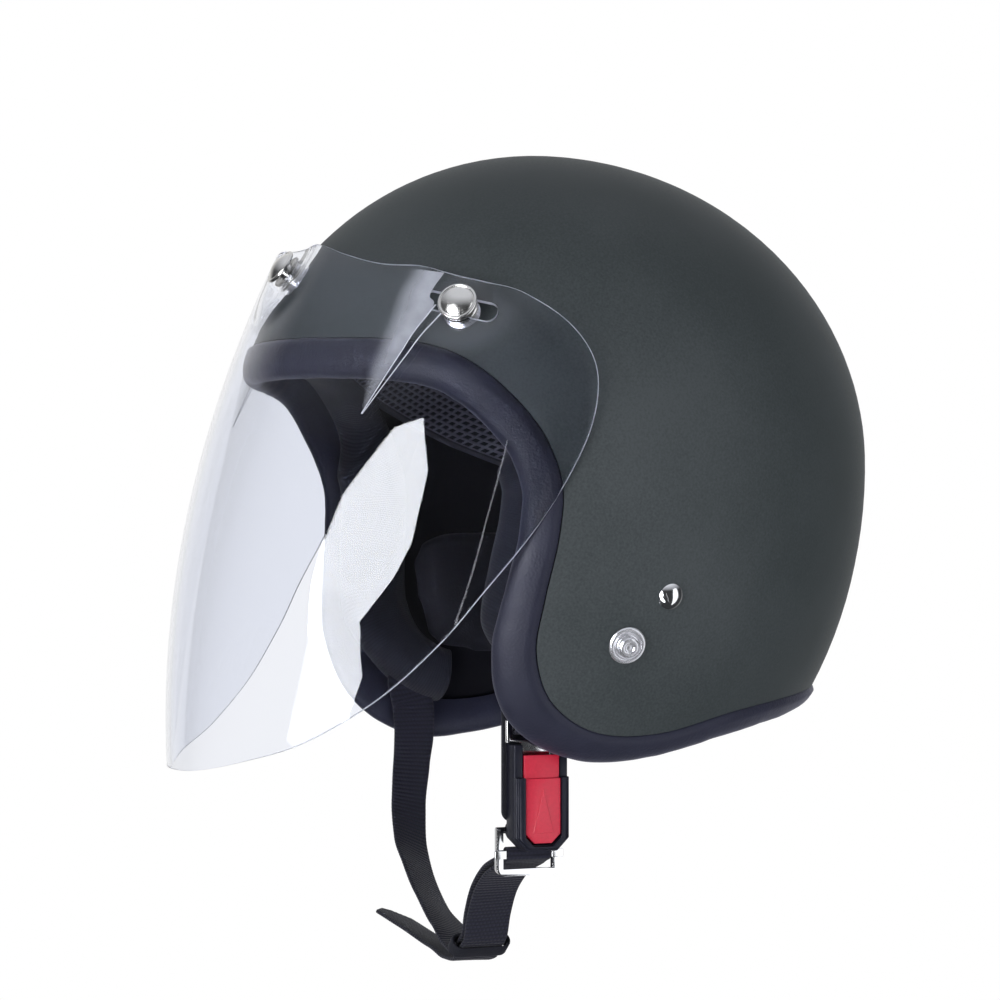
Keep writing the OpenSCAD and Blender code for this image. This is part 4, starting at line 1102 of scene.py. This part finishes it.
def bend(piece, a, b):
    """Gives webbing its finish and bakes its place into its mesh; the two bodies it spans are only printed.
    """
    piece.data.materials.append(WEBBING)
    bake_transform(piece)
    print(piece.name, "bends from", a, "to", b)


print("points in the section:", len(SECTION))

# %% [markdown]
# ## The straps
# The left strap is short and rides on the helmet. The long one crosses several joints, so it is made in
# stretches; the last rides on the buckle, and the others stay where they are made.

# %% Straps
left = webbing("left_webbing", even_run(left_run), strap_side,
               (len(left_fold), len(left_fold) + 3), [0] * len(left_run))
wear(left, WEBBING, "helmet", "webbing", "left_strap")

lean = flipped(strap_side)
turned = (len(right_fold) - 1, len(right_fold) + 1.5)
right_even = even_run(right_run)
first_hang, first_return = len(right_fold), len(right_fold) + len(strap_hang) + len(bar_turn)
# Where the stretches of the long strap start and end, as places in its list of points
CUTS = [0, first_hang + 11, first_hang + 16, first_return, first_return + 5, len(right_run)]
NAMES = ["long_strap", "strap_to_adjuster", "strap_round_bar", "strap_back", "strap_tail"]
strap = {name: webbing(name, part_of(right_even, *cut), lean, turned, right_roll, name == "strap_tail",
                       BAR_SQUEEZE if name == "strap_round_bar" else 0)
         for name, cut in zip(NAMES, zip(CUTS, CUTS[1:]))}
bend(strap["long_strap"], "helmet", "buckle")
bend(strap["strap_to_adjuster"], "buckle", "adjuster")
bend(strap["strap_round_bar"], "adjuster", "bar")
bend(strap["strap_back"], "buckle", "adjuster")
wear(strap["strap_tail"], WEBBING, "buckle", "webbing")
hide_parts("right_strap")

# %% [markdown]
# ## Buckle, adjuster and keeper
# Hard moulded and stamped pieces keep the solid model's shape. A copy of each gets a small bevel, because
# no real edge is perfectly sharp and a bevel is what catches the light.

# %% Hard pieces
HARD = [("buckle_base", "buckle_housing", BUCKLE_PLASTIC, "buckle", "buckle_plastic", 0.5),
        ("buckle_cover", "buckle_front", BUCKLE_PLASTIC, "buckle", "buckle_plastic", 0.4),
        ("release_button", "red_button", BUTTON_RED, "button", "button_red", 0.35),
        ("tongue", "tongue_plate", CHROME, "helmet", "rivet_chrome", 0.25),
        ("adjuster_frame", "adjuster_loop", CHROME, "adjuster", "rivet_chrome", 0.5),
        ("adjuster_bar", "adjuster_slider", CHROME, "bar", "rivet_chrome", 0.25),
        ("strap_keeper", "keeper_loop", PAD_CLOTH, "buckle", "flap_fabric", 0.45),
        ("chin_flap", "fabric_flap", PAD_CLOTH, "helmet", "flap_fabric", 0.5)]
# Their forked faces would be filled right across if their triangles were merged
KEEP_TRIANGLES = ("buckle_cover", "adjuster_bar")
FLAT_WITHIN = 0.5
for source, name, material, body, slot, bevel in HARD:
    piece = solid_copy(source, name, 0 if source in KEEP_TRIANGLES else FLAT_WITHIN)
    soften(piece, bevel * MM)
    wear(piece, material, body, slot, source)

for hidden in ("stud_posts", "rivet_bushes", "anchor_plates", "latch_plate"):
    nodes[hidden].data.materials.clear()
    nodes[hidden].data.materials.append(STEEL)

spring = solid_copy("button_spring", "return_spring")
crisp(spring, 40)
spring.data.materials.append(STEEL)
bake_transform(spring)
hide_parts("button_spring")

# %% [markdown]
# ## The stuffed pads
# A pad's solid is remeshed into even faces and becomes cloth with air pressure inside. The side that
# lies on the foam is pinned, and so are the sewn lines, so the cloth rises in soft swells between
# them, as a real pad does. No point may move further than a few millimetres.

# %% Stuffed pads
PAD_SEAT = 29.7 * MM
SEAT_SLACK = 0.6 * MM
PAD_REACH = 5 * MM
CLOTH_FRAMES = 20
# Points that face the foam at least this squarely are held
HELD_FACING = 0.3
CLOTH_STIFFNESS = 8
AIR_PRESSURE = 4
# Sewn lines: bearings in degrees, a height, and a wheel of spokes on the crown
CHEEK_LINES, CHEEK_LEVEL = (88, 108), -0.052
NECK_LINES = (144, 162, 180)
CROWN_HUB, CROWN_SPOKES = 0.03, 60


def bearing_of(p):
    """Bearing of a point in degrees, from the front."""
    return math.degrees(math.atan2(p.x, -p.y))


def stuffed(name, source, voxel, on_seam):
    """A cloth pad blown up from a solid; on_seam(point) is true on its sewn lines."""
    piece = solid_copy(source, name)
    piece.data.remesh_voxel_size = voxel
    bpy.ops.object.voxel_remesh()
    finish_with(piece, "SMOOTH", factor=0.5, iterations=3)
    rest = [point.co.copy() for point in piece.data.vertices]
    facing = [point.normal.dot(point.co.normalized()) for point in piece.data.vertices]
    held = [i for i, p in enumerate(rest) if facing[i] > HELD_FACING or on_seam(p)]
    pins = piece.vertex_groups.new(name="sewn")
    pins.add(held, 1.0, "REPLACE")
    blow_up(piece, pins.name)
    for point, start, face in zip(piece.data.vertices, rest, facing):
        move = point.co - start
        limit = SEAT_SLACK if face > 0 else PAD_REACH
        point.co = start + move * min(1, limit / max(move.length, 1e-9))
    piece.vertex_groups.clear()
    finish_with(piece, "SUBSURF", levels=1)
    bpy.ops.object.shade_smooth()
    wear(piece, PAD_CLOTH, "helmet", "pad_fabric", source)


def blow_up(piece, pins):
    """Runs the cloth with air inside and no weight, then keeps its shape."""
    only(piece)
    cloth = piece.modifiers.new("Cloth", "CLOTH")
    cloth.settings.vertex_group_mass = pins
    cloth.settings.use_pressure = True
    cloth.settings.uniform_pressure_force = AIR_PRESSURE
    cloth.settings.tension_stiffness = cloth.settings.compression_stiffness = CLOTH_STIFFNESS
    cloth.settings.effector_weights.gravity = 0
    cloth.point_cache.frame_start, cloth.point_cache.frame_end = 1, CLOTH_FRAMES
    for step in range(1, CLOTH_FRAMES + 1):
        bpy.context.scene.frame_set(step)
    bpy.ops.object.modifier_apply(modifier=cloth.name)
    bpy.context.scene.frame_set(1)


def near_line(value, places, half):
    """Whether a value is close to one of several sewn lines."""
    return any(abs(value - place) < half for place in places)


def cheek_seam(p):
    side = abs(bearing_of(p))
    return near_line(side, CHEEK_LINES, 2.2) or near_line(p.z, [CHEEK_LEVEL], 2.2 * MM)


def neck_seam(p):
    return near_line(abs(bearing_of(p)), NECK_LINES, 2)


def crown_seam(p):
    turn = math.degrees(math.atan2(p.y - CROWN_HUB, p.x)) % CROWN_SPOKES
    return min(turn, CROWN_SPOKES - turn) < 3


stuffed("left_cheek_cushion", "left_cheek_pad", 4 * MM, cheek_seam)
stuffed("right_cheek_cushion", "right_cheek_pad", 4 * MM, cheek_seam)
stuffed("neck_roll", "neck_pad", 4 * MM, neck_seam)
stuffed("crown_cushion", "crown_pad", 5 * MM, crown_seam)

# %% [markdown]
# ## The head band
# The band is a soft ring on a tilted circle round the head. It is full in the middle of its height and
# thin at its two rims.

# %% Head band
PAD_TILT = math.radians(22.8)
BAND_HIGH, BAND_LOW = math.radians(50), math.radians(85)
BAND_THICK, BAND_RIM = 8 * MM, 2.5 * MM
BAND_COLUMNS, BAND_ROWS = 160, 40


def round_pole(angle, turn):
    """Direction at an angle from the pads' pole and a turn round it."""
    pole = Vector((0, math.sin(PAD_TILT), math.cos(PAD_TILT)))
    level = Vector((math.cos(turn), math.sin(turn) * math.cos(PAD_TILT),
                    -math.sin(turn) * math.sin(PAD_TILT)))
    return pole * math.cos(angle) + level * math.sin(angle)


def band_full(share):
    """Thickness of the band at a share of its height, from its upper rim."""
    return BAND_RIM + (BAND_THICK - BAND_RIM) * math.sqrt(max(0, 1 - (2 * share - 1) ** 4))


def band_angle(share):
    """Angle from the pads' pole at a share of the band's height."""
    return BAND_HIGH + (BAND_LOW - BAND_HIGH) * share


def band_place(u, v):
    """A point of the band: down its inner face, then up its back."""
    half = v < 0.5
    share = 2 * v if half else 2 - 2 * v
    depth = PAD_SEAT + (band_full(share) if half else 0)
    return skin(round_pole(band_angle(share), 2 * math.pi * u), -depth)


band = placed_grid("head_band_cushion", BAND_COLUMNS, BAND_ROWS, band_place)
edit(band, bpy.ops.mesh.normals_make_consistent, inside=False)
wear(band, PAD_CLOTH, "helmet", "pad_fabric", "head_band")

# %% [markdown]
# ## The net on the head band
# Open net covers the band's inner face. It starts as a grid whose rows lean, so that the holes of one row
# sit between those of the next; each face is inset, its middle is deleted, and the rest gets a wall.

# %% Net
NET_COLUMNS, NET_ROWS = 150, 19
NET_BAR = 0.5 * MM
NET_LIFT = 0.3 * MM
NET_THICK = 0.6 * MM
NET_MARGIN = 0.04


def net_place(u, v):
    """A point just inside the band, where each row is half a hole on from the last."""
    share = NET_MARGIN + (1 - 2 * NET_MARGIN) * v
    turn = 2 * math.pi * (u + 0.5 * v * NET_ROWS / NET_COLUMNS)
    return skin(round_pole(band_angle(share), turn), -(PAD_SEAT + band_full(share) + NET_LIFT))


def open_holes():
    """In edit mode, makes a hole in the middle of every face."""
    bpy.ops.mesh.inset(thickness=NET_BAR, depth=0, use_individual=True)
    bpy.ops.mesh.delete(type="FACE")


net = placed_grid("head_band_net", NET_COLUMNS, NET_ROWS, net_place)
edit(net, open_holes)
finish_with(net, "SOLIDIFY", thickness=NET_THICK, offset=1)
bpy.ops.object.shade_smooth()
wear(net, NET, "helmet", "pad_fabric")

# %% [markdown]
# ## The knitted facing
# Beside the face, a ribbed knit covers the cut end of the foam. It starts under the trim, crosses the
# foam's end and turns over its inner corner. Its map is in metres, so the ribs come out at their size.

# %% Knitted facing
FACING_END = 10.2 / EDGE_COUNT
# Depth below the shell, reach off its edge, and how much further it swells beside the face
FACING = [(9, 1.2, 0), (12, 2.4, 6), (17, 3, 14), (22, 3, 17.5), (26.5, 2.4, 18.5), (30, 0.8, 17.5),
          (32.5, -2, 11), (33, -6, 0)]
# Height where the swell starts and the drop over which it grows, then the same for its loss at the jaw
SWELL_START, SWELL_DROP = 25 * MM, 22 * MM
JAW_START, JAW_DROP, JAW_LOSS = -70 * MM, 25 * MM, 0.7
FACING_ROWS = 400
FACING_WIDTH = 45 * MM
FACING_THICK = 0.7 * MM
EDGE_STEPS = 200


def facing_place(u, v):
    """A point of the facing: it swells beside the face and lies flat at the brow."""
    round_edge = FACING_END * (2 * v - 1)
    depth, off, swell = FACING[round(u * (len(FACING) - 1))]
    _, out, away = edge_axes(round_edge)
    bearing, height, _ = edge_at(round_edge)
    jaw = JAW_LOSS * ease((JAW_START - height) / JAW_DROP)
    full = ease((SWELL_START - height) / SWELL_DROP) * (1 - jaw)
    return skin(toward(bearing, height), -depth * MM) + away * (off + swell * full) * MM


edge_points = [skin(edge_toward(FACING_END * (2 * i / EDGE_STEPS - 1))) for i in range(EDGE_STEPS + 1)]
edge_length = sum((q - p).length for p, q in zip(edge_points, edge_points[1:]))
facing = placed_grid("knit_facing", len(FACING) - 1, FACING_ROWS, facing_place,
                     (FACING_WIDTH, edge_length))
finish_with(facing, "SUBSURF", levels=1)
finish_with(facing, "SOLIDIFY", thickness=FACING_THICK, offset=0)
bpy.ops.object.shade_smooth()
wear(facing, KNIT, "helmet", "pad_fabric")
